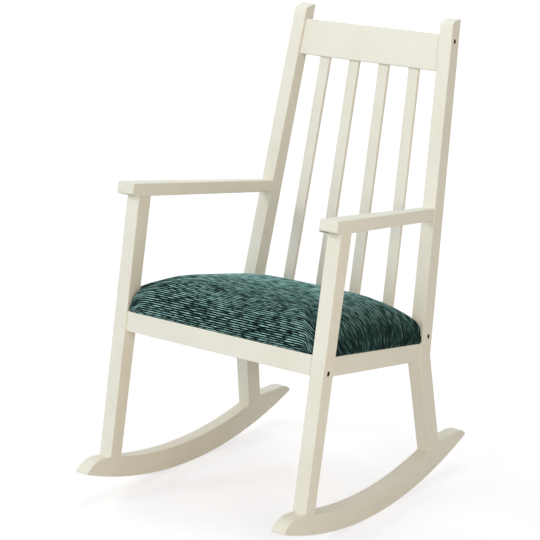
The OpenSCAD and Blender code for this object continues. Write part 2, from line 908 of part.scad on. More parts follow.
foam_foot = board_z + board_t + fit_gap;
foam_less = cover_t + 2 * side_gap;
module seat_foam()
    placed()
        color(foam_tint)
            in_seat()
                lofted(
                    on_axis(foam_foot),
                    cushion_rings(foam_foot, foam_less),
                    on_axis(crown_h - foam_less),
                    rising = false
                );

// The cover is drawn from under its crown down its inside, round its hem and up its outside
module seat_cover()
    placed()
        color(green_cloth)
            in_seat()
                lofted(
                    on_axis(crown_h - cover_t),
                    concat(
                        backwards(cushion_rings(cover_t, cover_t)),
                        [ring(1, cover_t, hem_w), ring(1, 0, hem_w)],
                        cushion_rings(0, 0)
                    ),
                    on_axis(crown_h),
                    rising = true
                );

module frame_bolts()
    placed()
        color(bronze)
            on_both_sides()
                for (at = [front_bolt, rear_bolt, crest_bolt])
                    frame_bolt(at);

module cross_nuts()
    placed()
        color(steel)
            on_both_sides()
                for (at = [front_bolt, rear_bolt, crest_bolt])
                    cross_nut(at);

module seat_screws()
    placed()
        color(steel)
            on_both_sides()
                for (front = [true, false])
                    seat_screw(front);

module rocker_pegs()
    placed()
        color(bare_wood)
            on_both_sides() {
                front_foot_pegs();
                rear_foot_pegs();
            }

module side_rail_pegs()
    placed()
        color(bare_wood)
            on_both_sides()
                side_rail_peg_set();

module cross_rail_pegs()
    placed()
        color(bare_wood)
            on_both_sides()
                cross_rail_peg_set();

module arm_pegs()
    placed()
        color(bare_wood)
            on_both_sides()
                arm_peg_set();

rocker(true);  // rocker_left
rocker(false);  // rocker_right
front_leg(true);  // front_leg_left
front_leg(false);  // front_leg_right
rear_post(true);  // rear_post_left
rear_post(false);  // rear_post_right
side_rail(true);  // side_rail_left
side_rail(false);  // side_rail_right
arm(true);  // arm_left
arm(false);  // arm_right
front_rail();
rear_rail();
crest_rail();
slat(0);  // slat_1
slat(1);  // slat_2
slat(2);  // slat_3
slat(3);  // slat_4
corner_block(true, true);  // corner_block_front_left
corner_block(true, false);  // corner_block_front_right
corner_block(false, true);  // corner_block_rear_left
corner_block(false, false);  // corner_block_rear_right
seat_board();
seat_foam();
seat_cover();
frame_bolts();
cross_nuts();
seat_screws();
rocker_pegs();
side_rail_pegs();
cross_rail_pegs();
arm_pegs();
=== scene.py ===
import math

import bmesh
import bpy
import numpy as np
from mathutils import Matrix, Vector
from mathutils.bvhtree import BVHTree


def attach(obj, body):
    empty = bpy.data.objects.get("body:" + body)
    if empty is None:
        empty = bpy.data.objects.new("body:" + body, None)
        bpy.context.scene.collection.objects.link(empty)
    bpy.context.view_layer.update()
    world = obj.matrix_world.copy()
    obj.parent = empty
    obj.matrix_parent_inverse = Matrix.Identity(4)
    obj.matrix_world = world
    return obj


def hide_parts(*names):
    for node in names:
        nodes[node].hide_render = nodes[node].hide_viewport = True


# A painted rocking chair with a ribbed seat cushion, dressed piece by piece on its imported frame.
# Lengths are in metres and angles in degrees. The sitter faces -Y, and the floor is z = 0.

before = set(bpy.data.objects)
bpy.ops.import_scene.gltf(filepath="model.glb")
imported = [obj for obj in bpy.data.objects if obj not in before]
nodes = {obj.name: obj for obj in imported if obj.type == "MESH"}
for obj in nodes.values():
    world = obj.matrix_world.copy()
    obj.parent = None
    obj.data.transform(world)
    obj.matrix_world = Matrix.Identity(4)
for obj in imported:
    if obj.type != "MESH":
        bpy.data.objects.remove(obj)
scene = bpy.context.scene
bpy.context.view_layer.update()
body = "root"
print("frame loaded:", len(nodes), "nodes")


# Camera and stage

camera = {
    "place": (1.7961, -3.0729, 1.2962),
    "azimuth": 31.246,
    "elevation": 12.589,
    "roll": 4.321,
    "lens": 108.08,  # millimetres, on a sensor as wide as it is high
    "sensor": 36.0,
}


def linked(name, data):
    obj = bpy.data.objects.new(name, data)
    scene.collection.objects.link(obj)
    return obj


def makeCamera():
    data = bpy.data.cameras.new("photoCamera")
    data.lens = camera["lens"]
    data.sensor_width = camera["sensor"]
    data.clip_end = 60
    obj = linked("photoCamera", data)
    turn = Matrix.Rotation(math.radians(camera["azimuth"]), 4, "Z")
    tilt = Matrix.Rotation(math.radians(90 - camera["elevation"]), 4, "X")
    roll = Matrix.Rotation(math.radians(camera["roll"]), 4, "Z")
    obj.matrix_world = Matrix.Translation(camera["place"]) @ turn @ tilt @ roll
    scene.camera = obj


makeCamera()
scene.view_settings.view_transform = "Standard"


# Small helpers for colours, nodes and finished pieces


def linear(code):
    # "#RRGGBB" as the linear colour that a shader takes
    values = [int(code[i : i + 2], 16) / 255 for i in (1, 3, 5)]
    return [v / 12.92 if v <= 0.04045 else ((v + 0.055) / 1.055) ** 2.4 for v in values] + [1.0]


def addNode(tree, kind, inputs=None, **settings):
    # Adds a node, sets what is named, and gives each input a value or a link from another node's socket
    node = tree.nodes.new(kind)
    for name, value in settings.items():
        setattr(node, name, value)
    for key, value in (inputs or {}).items():
        if isinstance(value, bpy.types.NodeSocket):
            tree.links.new(value, node.inputs[key])
        else:
            node.inputs[key].default_value = value
    return node


def calc(tree, operation, *values):
    # One step of arithmetic
    return addNode(tree, "ShaderNodeMath", dict(enumerate(values)), operation=operation).outputs[0]


def noise(tree, place, scale, detail, roughness=0.5, distortion=0.0):
    inputs = {"Vector": place, "Scale": scale, "Detail": detail, "Roughness": roughness}
    return addNode(tree, "ShaderNodeTexNoise", {**inputs, "Distortion": distortion}).outputs["Fac"]


def stretched(tree, place, scale):
    return addNode(tree, "ShaderNodeMapping", {"Vector": place, "Scale": scale}).outputs["Vector"]


def rescaled(tree, value, low, high, newLow, newHigh):
    inputs = {"Value": value, "From Min": low, "From Max": high, "To Min": newLow, "To Max": newHigh}
    return addNode(tree, "ShaderNodeMapRange", inputs).outputs["Result"]


def bumped(tree, height, strength, distance, under=None):
    inputs = {"Height": height, "Strength": strength, "Distance": distance}
    if under is not None:
        inputs["Normal"] = under
    return addNode(tree, "ShaderNodeBump", inputs).outputs["Normal"]


def ramp(tree, factor, stops):
    # A colour ramp through (position, "#RRGGBB") stops
    node = addNode(tree, "ShaderNodeValToRGB", {"Fac": factor})
    while len(node.color_ramp.elements) < len(stops):
        node.color_ramp.elements.new(0.5)
    for element, (place, code) in zip(node.color_ramp.elements, stops):
        element.position = place
        element.color = linear(code)
    return node.outputs["Color"]


def objectPlace(tree):
    return addNode(tree, "ShaderNodeTexCoord").outputs["Object"]


def ownMap(tree, name):
    return addNode(tree, "ShaderNodeUVMap", uv_map=name).outputs["UV"]


def pointValue(tree, name):
    return addNode(tree, "ShaderNodeAttribute", attribute_name=name)


def newMaterial(name):
    made = bpy.data.materials.new(name)
    made.use_nodes = True
    made.node_tree.nodes.clear()
    return made, made.node_tree


def finishMaterial(tree, kind, inputs):
    shader = addNode(tree, kind, inputs)
    addNode(tree, "ShaderNodeOutputMaterial", {"Surface": shader.outputs[0]})


def finishSurface(tree, inputs):
    finishMaterial(tree, "ShaderNodeBsdfPrincipled", inputs)


def meshObject(name, mesh, material=None):
    obj = linked(name, mesh)
    if material is not None:
        mesh.materials.clear()
        mesh.materials.append(material)
    return obj


def addPiece(obj, slot, *replaced):
    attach(obj, body)
    if replaced:
        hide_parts(*replaced)
    return obj


def pointsOf(mesh):
    points = np.empty(len(mesh.vertices) * 3)
    mesh.vertices.foreach_get("co", points)
    return points.reshape(-1, 3)


def weldedCopy(name, flat=None):
    # A working copy of a CAD node with its seams closed. Faces that turn by less than flat are joined.
    work = bmesh.new()
    work.from_mesh(nodes[name].data)
    bmesh.ops.remove_doubles(work, verts=work.verts, dist=2e-6)
    if flat is not None:
        bmesh.ops.dissolve_limit(work, angle_limit=math.radians(flat), verts=work.verts, edges=work.edges)
    return work


def toMesh(work, name):
    bmesh.ops.recalc_face_normals(work, faces=work.faces)
    mesh = bpy.data.meshes.new(name)
    work.to_mesh(mesh)
    work.free()
    return mesh


def smoothBelow(mesh, angle):
    # Smooth shading, apart from the edges that turn by more than the angle
    for face in mesh.polygons:
        face.use_smooth = True
    mesh.set_sharp_from_angle(angle=math.radians(angle))


def weighNormals(obj, weight):
    # The broad faces keep their flat shading right up to the rounded arrises
    weigh = obj.modifiers.new("weigh", "WEIGHTED_NORMAL")
    weigh.keep_sharp = True
    weigh.weight = weight


def islands(items, neighbours):
    # Sorts the items into groups that hang together; neighbours gives the items next to one
    left = dict.fromkeys(items)
    groups = []
    while left:
        group = [next(iter(left))]
        del left[group[0]]
        for item in group:
            for other in neighbours(item):
                if other in left:
                    del left[other]
                    group.append(other)
        groups.append(group)
    return groups


def nextTo(vert):
    return [edge.other_vert(vert) for edge in vert.link_edges]


def groupsOf(name):
    # The separate solids of a CAD node, each as an array of its points
    work = weldedCopy(name)
    groups = [np.array([tuple(vert.co) for vert in group]) for group in islands(work.verts, nextTo)]
    work.free()
    return groups


# Materials


def satinPaint():
    # Sprayed satin lacquer over planed beech: ivory, closed and even. The wood's grain only just shows as a
    # faint ripple along each piece, and the surface has a fine orange peel.
    paint = {
        "light": "#EAE8DB",
        "deep": "#E3DECE",
        "rough": (0.36, 0.46),
        "grainAcross": 0.0011,  # distance between grain lines
        "grainAlong": 0.060,
        "grainShare": 0.35,  # weight of the grain beside the broad clouds
        "clouds": 9.0,
        "peel": 0.0011,  # size of the orange peel's dimples
        "ripple": (0.10, 0.00025),  # strength and height
        "dimple": (0.12, 0.0001),
    }
    made, tree = newMaterial("satinPaintOnBeech")
    along = stretched(tree, ownMap(tree, "grain"), (1 / paint["grainAlong"], 1 / paint["grainAcross"], 1))
    grain = noise(tree, along, 1.0, 3.0, 0.55)
    place = objectPlace(tree)
    cloud = noise(tree, place, paint["clouds"], 2.0)
    peel = noise(tree, place, 1 / paint["peel"], 1.0)
    mixed = calc(tree, "MULTIPLY_ADD", grain, paint["grainShare"], cloud)
    ripple = bumped(tree, grain, *paint["ripple"])
    surface = {
        "Base Color": ramp(tree, mixed, [(0.35, paint["deep"]), (0.95, paint["light"])]),
        "Roughness": rescaled(tree, cloud, 0.3, 0.7, *paint["rough"]),
        "Normal": bumped(tree, peel, *paint["dimple"], ripple),
        "IOR": 1.48,
    }
    finishSurface(tree, surface)
    return made


def bareBeech(name, hasMap):
    # Planed, unfinished beech: pale pinkish tan with fine dark flecks along the grain, dull to the eye.
    # A piece with no map of its own takes the grain from its place.
    beech = {
        "bands": (3.0, 120.0, 1.0),  # bands in a metre, along the grain and across
        "flecks": (260.0, 1400.0, 1.0),
        "fleckShare": 0.55,
    }
    made, tree = newMaterial(name)
    place = ownMap(tree, "grain") if hasMap else objectPlace(tree)
    band = noise(tree, stretched(tree, place, beech["bands"]), 1.0, 4.0, distortion=0.4)
    fleck = noise(tree, stretched(tree, place, beech["flecks"]), 1.0, 1.0)
    tone = ramp(tree, band, [(0.25, "#B58F62"), (0.55, "#CBAA7C"), (0.8, "#D9BE94")])
    dark = ramp(tree, fleck, [(0.30, "#A67E52"), (0.42, "#FFFFFF")])
    inputs = {"Factor": beech["fleckShare"], "A": tone, "B": dark}
    colour = addNode(tree, "ShaderNodeMix", inputs, data_type="RGBA", blend_type="MULTIPLY").outputs["Result"]
    surface = {"Base Color": colour, "Roughness": 0.68, "Normal": bumped(tree, band, 0.2, 0.0003), "IOR": 1.5}
    finishSurface(tree, surface)
    return made


def chenille():
    # Chenille upholstery cloth: thick cut-pile yarns lie side by side as ribs. The colour is painted teal
    # on the ribs' backs and green black between them, a painted shade in the grooves, and it is darkened
    # further as painted shade where the cover turns down at the sides and the rear. Each yarn runs lighter
    # and darker along its length, its tufts are uneven, and the fibres give it a pale haze where it is seen
    # at a low angle.
    cloth = {
        "dark": "#030706",
        "shade": "#142C2A",
        "middle": "#3F706B",
        "light": "#A6D2CC",
        "haze": "#A9CFC9",
        "pile": (2.5, -1.16),  # painted shade: how fast the tone rises out of a groove, and the tone in it
        "yarn": 0.9,  # how far one yarn's tone differs from the next
        "slub": (0.026, 0.0024, 0.65),  # length and width of a thick place in a yarn, and its weight
        "tuft": (0.0019, 0.0011, 0.5),
        "cloud": (0.075, 0.045, 0.3),
    }
    made, tree = newMaterial("chenilleCloth")
    pile, yarn, nap = [pointValue(tree, name).outputs["Fac"] for name in ("pile", "yarn", "nap")]
    uneven = {"yarn": (yarn, cloth["yarn"])}
    for name in ("slub", "tuft", "cloud"):
        length, width, weight = cloth[name]
        place = stretched(tree, ownMap(tree, "cloth"), (1 / length, 1 / width, 1.0))
        uneven[name] = (noise(tree, place, 1.0, 2.0, 0.6), weight)
    # Painted shade: the tone falls to green black down in the grooves between the ribs
    tone = calc(tree, "MULTIPLY_ADD", pile, *cloth["pile"])
    for part, weight in uneven.values():
        tone = calc(tree, "MULTIPLY_ADD", calc(tree, "SUBTRACT", part, 0.5), weight, tone)
    # Painted shade where the cover faces sideways or to the rear
    tone = calc(tree, "MULTIPLY", tone, nap)
    stops = [(0.05, cloth["dark"]), (0.28, cloth["shade"]), (0.60, cloth["middle"]), (1.0, cloth["light"])]
    surface = {
        "Base Color": ramp(tree, tone, stops),
        "Roughness": 0.9,
        "Normal": bumped(tree, uneven["tuft"][0], 0.7, 0.0007),
        "Specular IOR Level": 0.1,
        "Sheen Weight": 0.03,
        "Sheen Roughness": 0.35,
        "Sheen Tint": linear(cloth["haze"]),
    }
    finishSurface(tree, surface)
    return made


def speckled(name, scale, detail, stops, surface):
    # A material whose colour wanders between the stops in fine spots
    made, tree = newMaterial(name)
    spots = noise(tree, objectPlace(tree), scale, detail)
    finishSurface(tree, {"Base Color": ramp(tree, spots, stops), **surface})
    return made


paintMaterial = satinPaint()
beechMaterial = bareBeech("planedBeech", True)
pegMaterial = bareBeech("turnedBeechPeg", False)
clothMaterial = chenille()
# Steel browned in a hot oxide bath and oiled, as on furniture connector bolts: a nearly black brown skin that
# shines only softly
browned = {"Metallic": 0.1, "Roughness": 0.55, "Specular IOR Level": 0.3}
bronzeMaterial = speckled("bronzedSteel", 600.0, 3.0, [(0.3, "#1A0C07"), (0.7, "#341C12")], browned)
# The walls of a drilled hole: end grain left bare, coloured dark brown as painted shade inside the hole
porous = {"Roughness": 0.85, "Specular IOR Level": 0.2}
holeMaterial = speckled("endGrainInPaintedShade", 1500.0, 2.0, [(0.35, "#2A150C"), (0.7, "#5A3A24")], porous)
# Turned steel with a bright zinc plate, slightly blue and fine in its tool marks
plated = {"Metallic": 1.0, "Roughness": 0.32}
zincMaterial = speckled("zincPlatedSteel", 900.0, 2.0, [(0.3, "#9FA3A8"), (0.7, "#C3C6CA")], plated)
print("materials made")


# Wooden pieces: each is a copy of its CAD node with its long arrises rounded

woodwork = {
    "arris": 0.0016,  # radius of the rounded arrises
    "rockerArris": 0.0014,  # their tails end in thin tips
    "blockArris": 0.0010,
    "boardArris": 0.0006,
    "steps": 3,
    "rim": 0.0004,  # radius of the rim of a bolt's mouth
    "rimSteps": 2,
    "mouth": 0.00553,  # the walls of a bolt's mouth lie within this of its axis
    "mouthReach": 0.0095,  # from a bolt head's middle to the rim of its mouth
    "flat": 0.2,  # faces that turn by less are one face
    "weldedFlat": 0.35,
    "sharp": 24,  # an edge that turns by more is an arris
    "shadedFlat": 40,  # an edge that turns by less is shaded as a curve
    "wallArea": 40e-6,  # a face smaller than this is a facet of a hole
    "touch": 0.0006,  # a face this close to another piece is a joint
    "touchInset": 0.12,  # share of the way from a face's corners to its middle where that is tried
    "touchShare": 0.7,  # and the share of those places that have to be close
    "sliver": 0.0022,
    "grainShift": 0.13,  # these three keep the grain of one piece from going on in the next
    "partShift": 0.1,
    "acrossShift": 0.37,
    "weight": 80,  # how firmly the broad faces hold the shading of their edges
}


def nearTree(names):
    # The surfaces of the other wooden pieces, for finding the faces that are glued joints
    verts = []
    faces = []
    for name in names:
        start = len(verts)
        mesh = nodes[name].data
        verts += [v.co.copy() for v in mesh.vertices]
        faces += [[start + i for i in p.vertices] for p in mesh.polygons]
    return BVHTree.FromPolygons(verts, faces)


def isJoint(face, others):
    # True where the places just inside the face's own corners nearly all lie on another piece.
    # The corners on the rims of holes are left out.
    centre = face.calc_center_bounds()
    inside = []
    for loop in face.loops:
        if min(loop.edge.calc_length(), loop.link_loop_prev.edge.calc_length()) > woodwork["sliver"]:
            inside.append(loop.vert.co.lerp(centre, woodwork["touchInset"]))
    if len(inside) < 2:
        return False
    near = [others.find_nearest(point, woodwork["touch"])[0] is not None for point in inside]
    return sum(near) > woodwork["touchShare"] * len(near)


def partsOf(mesh):
    # A number for each vertex that tells the mesh's separate solids apart
    number = np.empty(len(mesh.vertices), dtype=int)
    work = bmesh.new()
    work.from_mesh(mesh)
    for solid in islands(work.verts, nextTo):
        found = [vert.index for vert in solid]
        number[found] = min(found)
    work.free()
    return number


def grainMap(mesh, shift):
    # Unwraps each solid in metres, with u along its grain and v across, and a shift that is its own
    points = pointsOf(mesh)
    number = partsOf(mesh)
    layer = mesh.uv_layers.new(name="grain")
    frames = {}
    for part in np.unique(number):
        own = points[number == part]
        frames[part] = (own.mean(0), np.linalg.svd(own - own.mean(0), full_matrices=False)[2])
    for face in mesh.polygons:
        part = number[face.vertices[0]]
        centre, axes = frames[part]
        normal = np.array(face.normal)
        across = axes[1] if abs(normal @ axes[2]) > abs(normal @ axes[1]) else axes[2]
        for loop in face.loop_indices:
            place = points[mesh.loops[loop].vertex_index] - centre
            along = place @ axes[0] + shift + woodwork["partShift"] * part
            layer.data[loop].uv = (along, place @ across + woodwork["acrossShift"] * shift)


def weldSlivers(work):
    # Closes the slivers that are left where two cuts end close together: short edges that stand alone
    short = {e for e in work.edges if e.calc_length() < woodwork["sliver"]}
    centre = sum((v.co for v in work.verts), Vector()) / len(work.verts)
    targets = {}
    for edge in short:
        if any(len(short.intersection(v.link_edges)) > 1 for v in edge.verts):
            continue
        inner, outer = sorted(edge.verts, key=lambda v: (v.co - centre).length)
        targets[inner] = outer
    if targets:
        bmesh.ops.weld_verts(work, targetmap=targets)
        flat = math.radians(woodwork["weldedFlat"])
        bmesh.ops.dissolve_limit(work, angle_limit=flat, verts=work.verts, edges=work.edges)


def bevelEdges(work, edges, radius, steps):
    shape = {"offset_type": "OFFSET", "profile": 0.5, "affect": "EDGES", "clamp_overlap": False}
    bmesh.ops.bevel(work, geom=edges, offset=radius, segments=steps, **shape)


def arrisesOf(work, joints, rims):
    # The edges to round: the arrises that no joint hides, and apart from them the rims of the bolts' mouths
    arrises = []
    mouths = []
    for edge in work.edges:
        if len(edge.link_faces) != 2 or edge.calc_face_angle() < math.radians(woodwork["sharp"]):
            continue
        if joints.intersection(edge.link_faces):
            continue
        if min(f.calc_area() for f in edge.link_faces) >= woodwork["wallArea"]:
            arrises.append(edge)
            continue
        middle = (edge.verts[0].co + edge.verts[1].co) / 2
        if any((middle - place).length < woodwork["mouthReach"] for place in rims):
            mouths.append(edge)
    return arrises, mouths


def roundedCopy(name, radius, material, slot, others, rims=()):
    # Others is the tree of the pieces it may be glued to, and rims the middles of the bolt heads
    work = weldedCopy(name, woodwork["flat"])
    weldSlivers(work)
    joints = {f for f in work.faces if others is not None and isJoint(f, others)}
    arrises, mouths = arrisesOf(work, joints, rims)
    if mouths:
        bevelEdges(work, mouths, woodwork["rim"], woodwork["rimSteps"])
        arrises = [e for e in arrises if e.is_valid]
    bevelEdges(work, arrises, radius, woodwork["steps"])
    mesh = toMesh(work, name)
    smoothBelow(mesh, woodwork["shadedFlat"])
    grainMap(mesh, woodwork["grainShift"] * len(bpy.data.meshes))
    obj = meshObject("painted." + name if slot == "paint" else "bare." + name, mesh, material)
    # The walls of the bolts' mouths take the dark end grain: painted shade inside the holes
    mesh.materials.append(holeMaterial)
    for face in mesh.polygons:
        for place in rims:
            away = face.center - place
            if abs(away.x) < woodwork["mouthReach"] and math.hypot(away.y, away.z) < woodwork["mouth"]:
                face.material_index = 1
    weighNormals(obj, woodwork["weight"])
    return addPiece(obj, slot, name)


def boltHeads(groups):
    # The middle of each bolt head's outer face, with the way that it faces
    found = []
    for points in groups:
        side = 1 if points[:, 0].mean() > 0 else -1
        outer = points[:, 0].max() if side > 0 else points[:, 0].min()
        head = points[np.abs(points[:, 0] - outer) < 1e-5]
        found.append((Vector((outer, head[:, 1].mean(), head[:, 2].mean())), Vector((side, 0, 0))))
    return found


pairs = ["rocker", "front_leg", "rear_post", "side_rail", "arm"]
paintedNames = [name + side for name in pairs for side in ("_left", "_right")]
paintedNames += ["front_rail", "rear_rail", "crest_rail"]
blockNames = [n for n in nodes if n.startswith("corner_block")]
boltGroups = groupsOf("frame_bolts")
heads = boltHeads(boltGroups)
for name in paintedNames:
    rest = [n for n in paintedNames + ["seat_cover"] if n != name]
    others = None if name.startswith("rocker") else nearTree(rest)
    radius = woodwork.get(name.split("_")[0] + "Arris", woodwork["arris"])
    roundedCopy(name, radius, paintMaterial, "paint", others, [place for place, _ in heads])
for name in blockNames:
    roundedCopy(name, woodwork["blockArris"], beechMaterial, "bare_wood", None)
print("wooden pieces rounded:", len(paintedNames) + len(blockNames))


# Geometry Nodes: small helpers for trees with named inputs


def newTree(name, sockets):
    # A tree with a geometry input and output, and the named inputs given as (name, kind, default)
    tree = bpy.data.node_groups.new(name, "GeometryNodeTree")
    tree.interface.new_socket("Geometry", in_out="INPUT", socket_type="NodeSocketGeometry")
    tree.interface.new_socket("Geometry", in_out="OUTPUT", socket_type="NodeSocketGeometry")
    for label, kind, value in sockets:
        socket = tree.interface.new_socket(label, in_out="INPUT", socket_type="NodeSocket" + kind)
        if value is not None:
            socket.default_value = value
    return tree, addNode(tree, "NodeGroupInput").outputs


def closeTree(tree, geometry, source):
    real = addNode(tree, "GeometryNodeRealizeInstances", {"Geometry": geometry}).outputs[0]
    done = addNode(tree, "GeometryNodeSetMaterial", {"Geometry": real, "Material": source["Material"]})
    addNode(tree, "NodeGroupOutput", {"Geometry": done.outputs[0]})


def attribute(tree, name):
    node = addNode(tree, "GeometryNodeInputNamedAttribute", {"Name": name}, data_type="FLOAT_VECTOR")
    return node.outputs["Attribute"]


def combined(tree, x, y, z):
    return addNode(tree, "ShaderNodeCombineXYZ", {"X": x, "Y": y, "Z": z}).outputs[0]


def setOnPoints(tree, source, shape, along, beside, besideAxis, scale):
    # Sets the shape on each point, with its Z and another axis along two of the points' attributes
    axes = {"Primary Axis": attribute(tree, along), "Secondary Axis": attribute(tree, beside)}
    turn = addNode(tree, "FunctionNodeAxesToRotation", axes, primary_axis="Z", secondary_axis=besideAxis)
    inputs = {"Points": source["Geometry"], "Instance": shape, "Rotation": turn.outputs[0], "Scale": scale}
    closeTree(tree, addNode(tree, "GeometryNodeInstanceOnPoints", inputs).outputs[0], source)


def grown(name, mesh, tree, values):
    # Runs a tree over a mesh and returns the plain mesh that it makes
    seed = meshObject(name + ".seed", mesh)
    modifier = seed.modifiers.new("grow", "NODES")
    modifier.node_group = tree
    for item in tree.interface.items_tree:
        if item.in_out == "INPUT" and item.name in values:
            modifier[item.identifier] = values[item.name]
    bpy.context.view_layer.update()
    graph = bpy.context.evaluated_depsgraph_get()
    evaluated = seed.evaluated_get(graph)
    made = bpy.data.meshes.new_from_object(evaluated, preserve_all_data_layers=True, depsgraph=graph)
    made.name = name
    seed.modifiers.remove(modifier)
    bpy.data.objects.remove(seed)
    return made


def pointsMesh(name, places, **vectors):
    # Loose points with vector attributes, for a tree to build on
    mesh = bpy.data.meshes.new(name)
    mesh.from_pydata([tuple(p) for p in places], [], [])
    for label, values in vectors.items():
        layer = mesh.attributes.new(label, "FLOAT_VECTOR", "POINT")
        layer.data.foreach_set("vector", np.array(values, dtype=float).ravel())
    return mesh


# Back slats: four flat bars that fan out a little as they rise from the rear rail to the crest rail

slats = {
    "nodes": ["slat_1", "slat_2", "slat_3", "slat_4"],
    "arris": 0.0018,
    "cornerSteps": 4,
    "grainShift": 0.77,
    "weight": 50,
}


def barFrame(name):
    # The low end, run, width and thickness of a straight bar, with the way that its flat face looks
    points = pointsOf(nodes[name].data)
    centre = (points.max(0) + points.min(0)) / 2
    low = points[points[:, 2] < centre[2]]
    high = points[points[:, 2] > centre[2]]
    foot = (low.max(0) + low.min(0)) / 2
    head = (high.max(0) + high.min(0)) / 2
    run = Vector(head - foot)
    across = Vector((1, 0, 0)) - run * (run.x / run.length_squared)
    across.normalize()
    face = across.cross(run.normalized())
    around = points - foot
    width = 2 * np.abs(around @ np.array(across)).max()
    thick = 2 * np.abs(around @ np.array(face)).max()
    return foot, run, width, thick, face


def slatTree():
    # A bar one metre long with rounded corners, stretched to each slat's run
    sockets = [("Width", "Float", 0.026), ("Thickness", "Float", 0.011), ("Arris", "Float", 0.0025)]
    sockets += [("Corner steps", "Int", 4), ("Material", "Material", None)]
    tree, source = newTree("slats", sockets)
    size = {"Width": source["Width"], "Height": source["Thickness"]}
    outline = addNode(tree, "GeometryNodeCurvePrimitiveQuadrilateral", size, mode="RECTANGLE").outputs[0]
    corner = {"Curve": outline, "Radius": source["Arris"], "Count": source["Corner steps"]}
    corner["Limit Radius"] = True
    rounded = addNode(tree, "GeometryNodeFilletCurve", corner, mode="POLY").outputs[0]
    flat = addNode(tree, "GeometryNodeFillCurve", {"Curve": rounded}, mode="NGONS").outputs[0]
    rise = {"Mesh": flat, "Offset": (0.0, 0.0, 1.0), "Offset Scale": 1.0, "Individual": False}
    bar = addNode(tree, "GeometryNodeExtrudeMesh", rise, mode="FACES")
    foot = addNode(tree, "GeometryNodeFlipFaces", {"Mesh": flat}).outputs[0]
    closed = addNode(tree, "GeometryNodeJoinGeometry", {"Geometry": bar.outputs["Mesh"]})
    tree.links.new(foot, closed.inputs["Geometry"])
    whole = addNode(tree, "GeometryNodeMergeByDistance", {"Geometry": closed.outputs[0], "Distance": 0.00001})
    run = attribute(tree, "run")
    length = addNode(tree, "ShaderNodeVectorMath", {0: run}, operation="LENGTH").outputs["Value"]
    setOnPoints(tree, source, whole.outputs[0], "run", "face", "Y", combined(tree, 1.0, 1.0, length))
    return tree


def makeSlats():
    feet, runs, widths, depths, sides = zip(*[barFrame(name) for name in slats["nodes"]])
    seed = pointsMesh("slatFeet", feet, run=runs, face=sides)
    sizes = {
        "Width": float(widths[0]),
        "Thickness": float(depths[0]),
        "Arris": slats["arris"],
        "Corner steps": slats["cornerSteps"],
        "Material": paintMaterial,
    }
    mesh = grown("backSlats", seed, slatTree(), sizes)
    smoothBelow(mesh, woodwork["shadedFlat"])
    grainMap(mesh, slats["grainShift"])
    obj = meshObject("backSlats", mesh)
    weighNormals(obj, slats["weight"])
    addPiece(obj, "paint", *slats["nodes"])


makeSlats()
print("slats made")


# Seat board and pegs

roundedCopy("seat_board", woodwork["boardArris"], beechMaterial, "bare_wood", None)
for name in [n for n in nodes if n.endswith("_pegs")]:
    mesh = nodes[name].data
    mesh.materials.clear()
    mesh.materials.append(pegMaterial)
print("seat board and pegs dressed")


# Metal fittings: one shape of each kind, set on the places that the CAD pieces give


def skin(work, rings):
    # Joins rings of equally many points into a closed skin, first ring to last
    rows = [[work.verts.new(p) for p in ring] for ring in rings]
    count = len(rows[0])
    for lower, upper in zip(rows, rows[1:]):
        for i in range(count):
            j = (i + 1) % count
            work.faces.new((lower[i], lower[j], upper[j], upper[i]))
    work.faces.new(list(reversed(rows[0])))
    work.faces.new(rows[-1])


metalFlat = 32  # on the fittings an edge that turns by less is shaded as a curve


def latheMesh(name, rings):
    work = bmesh.new()
    skin(work, rings)
    mesh = toMesh(work, name)
    smoothBelow(mesh, metalFlat)
    return mesh


def ringOf(radius, height, sides=0, count=24, shift=0.0):
    # A round ring of points, or one that lies on a polygon of that many sides, with the radius to its flats
    ring = []
    for i in range(count):
        angle = 2 * math.pi * (i + shift) / count
        reach = radius
        if sides:
            reach /= math.cos(angle % (2 * math.pi / sides) - math.pi / sides)
        ring.append((reach * math.cos(angle), reach * math.sin(angle), height))
    return ring


bolt = {
    "head": 0.0050,
    "headHeight": 0.0040,
    "crown": 0.0009,  # how far the head's face rises in its middle
    "socket": 0.0021,  # half the distance across the hexagon's flats
    "socketDepth": 0.0022,
    "shank": 0.0030,
}


def boltMesh(length):
    # The middle of the head's face is at the origin, and the bolt runs down -Z
    r, s, k, crown = bolt["head"], bolt["socket"], bolt["shank"], bolt["crown"]
    foot, deep = -bolt["headHeight"], -bolt["socketDepth"]
    shank = [(k * 0.7, -length), (k, -length + 0.0008), (k, foot)]
    head = [(r - 0.0003, foot), (r, foot + 0.0003), (r, -crown), (r - 0.0004, -crown * 0.55)]
    head += [(r - 0.0013, -crown * 0.16), (s * 1.32, 0)]
    socket = [(s * 1.06, -0.0001), (s, -0.0004), (s, deep), (s * 0.4, deep - 0.0004)]
    rings = [ringOf(*step) for step in shank + head]
    return latheMesh("boltShape", rings + [ringOf(*step, 6) for step in socket])


nut = {"radius": 0.0050, "chamfer": 0.0005, "slotWidth": 0.0013, "slotDepth": 0.0016}


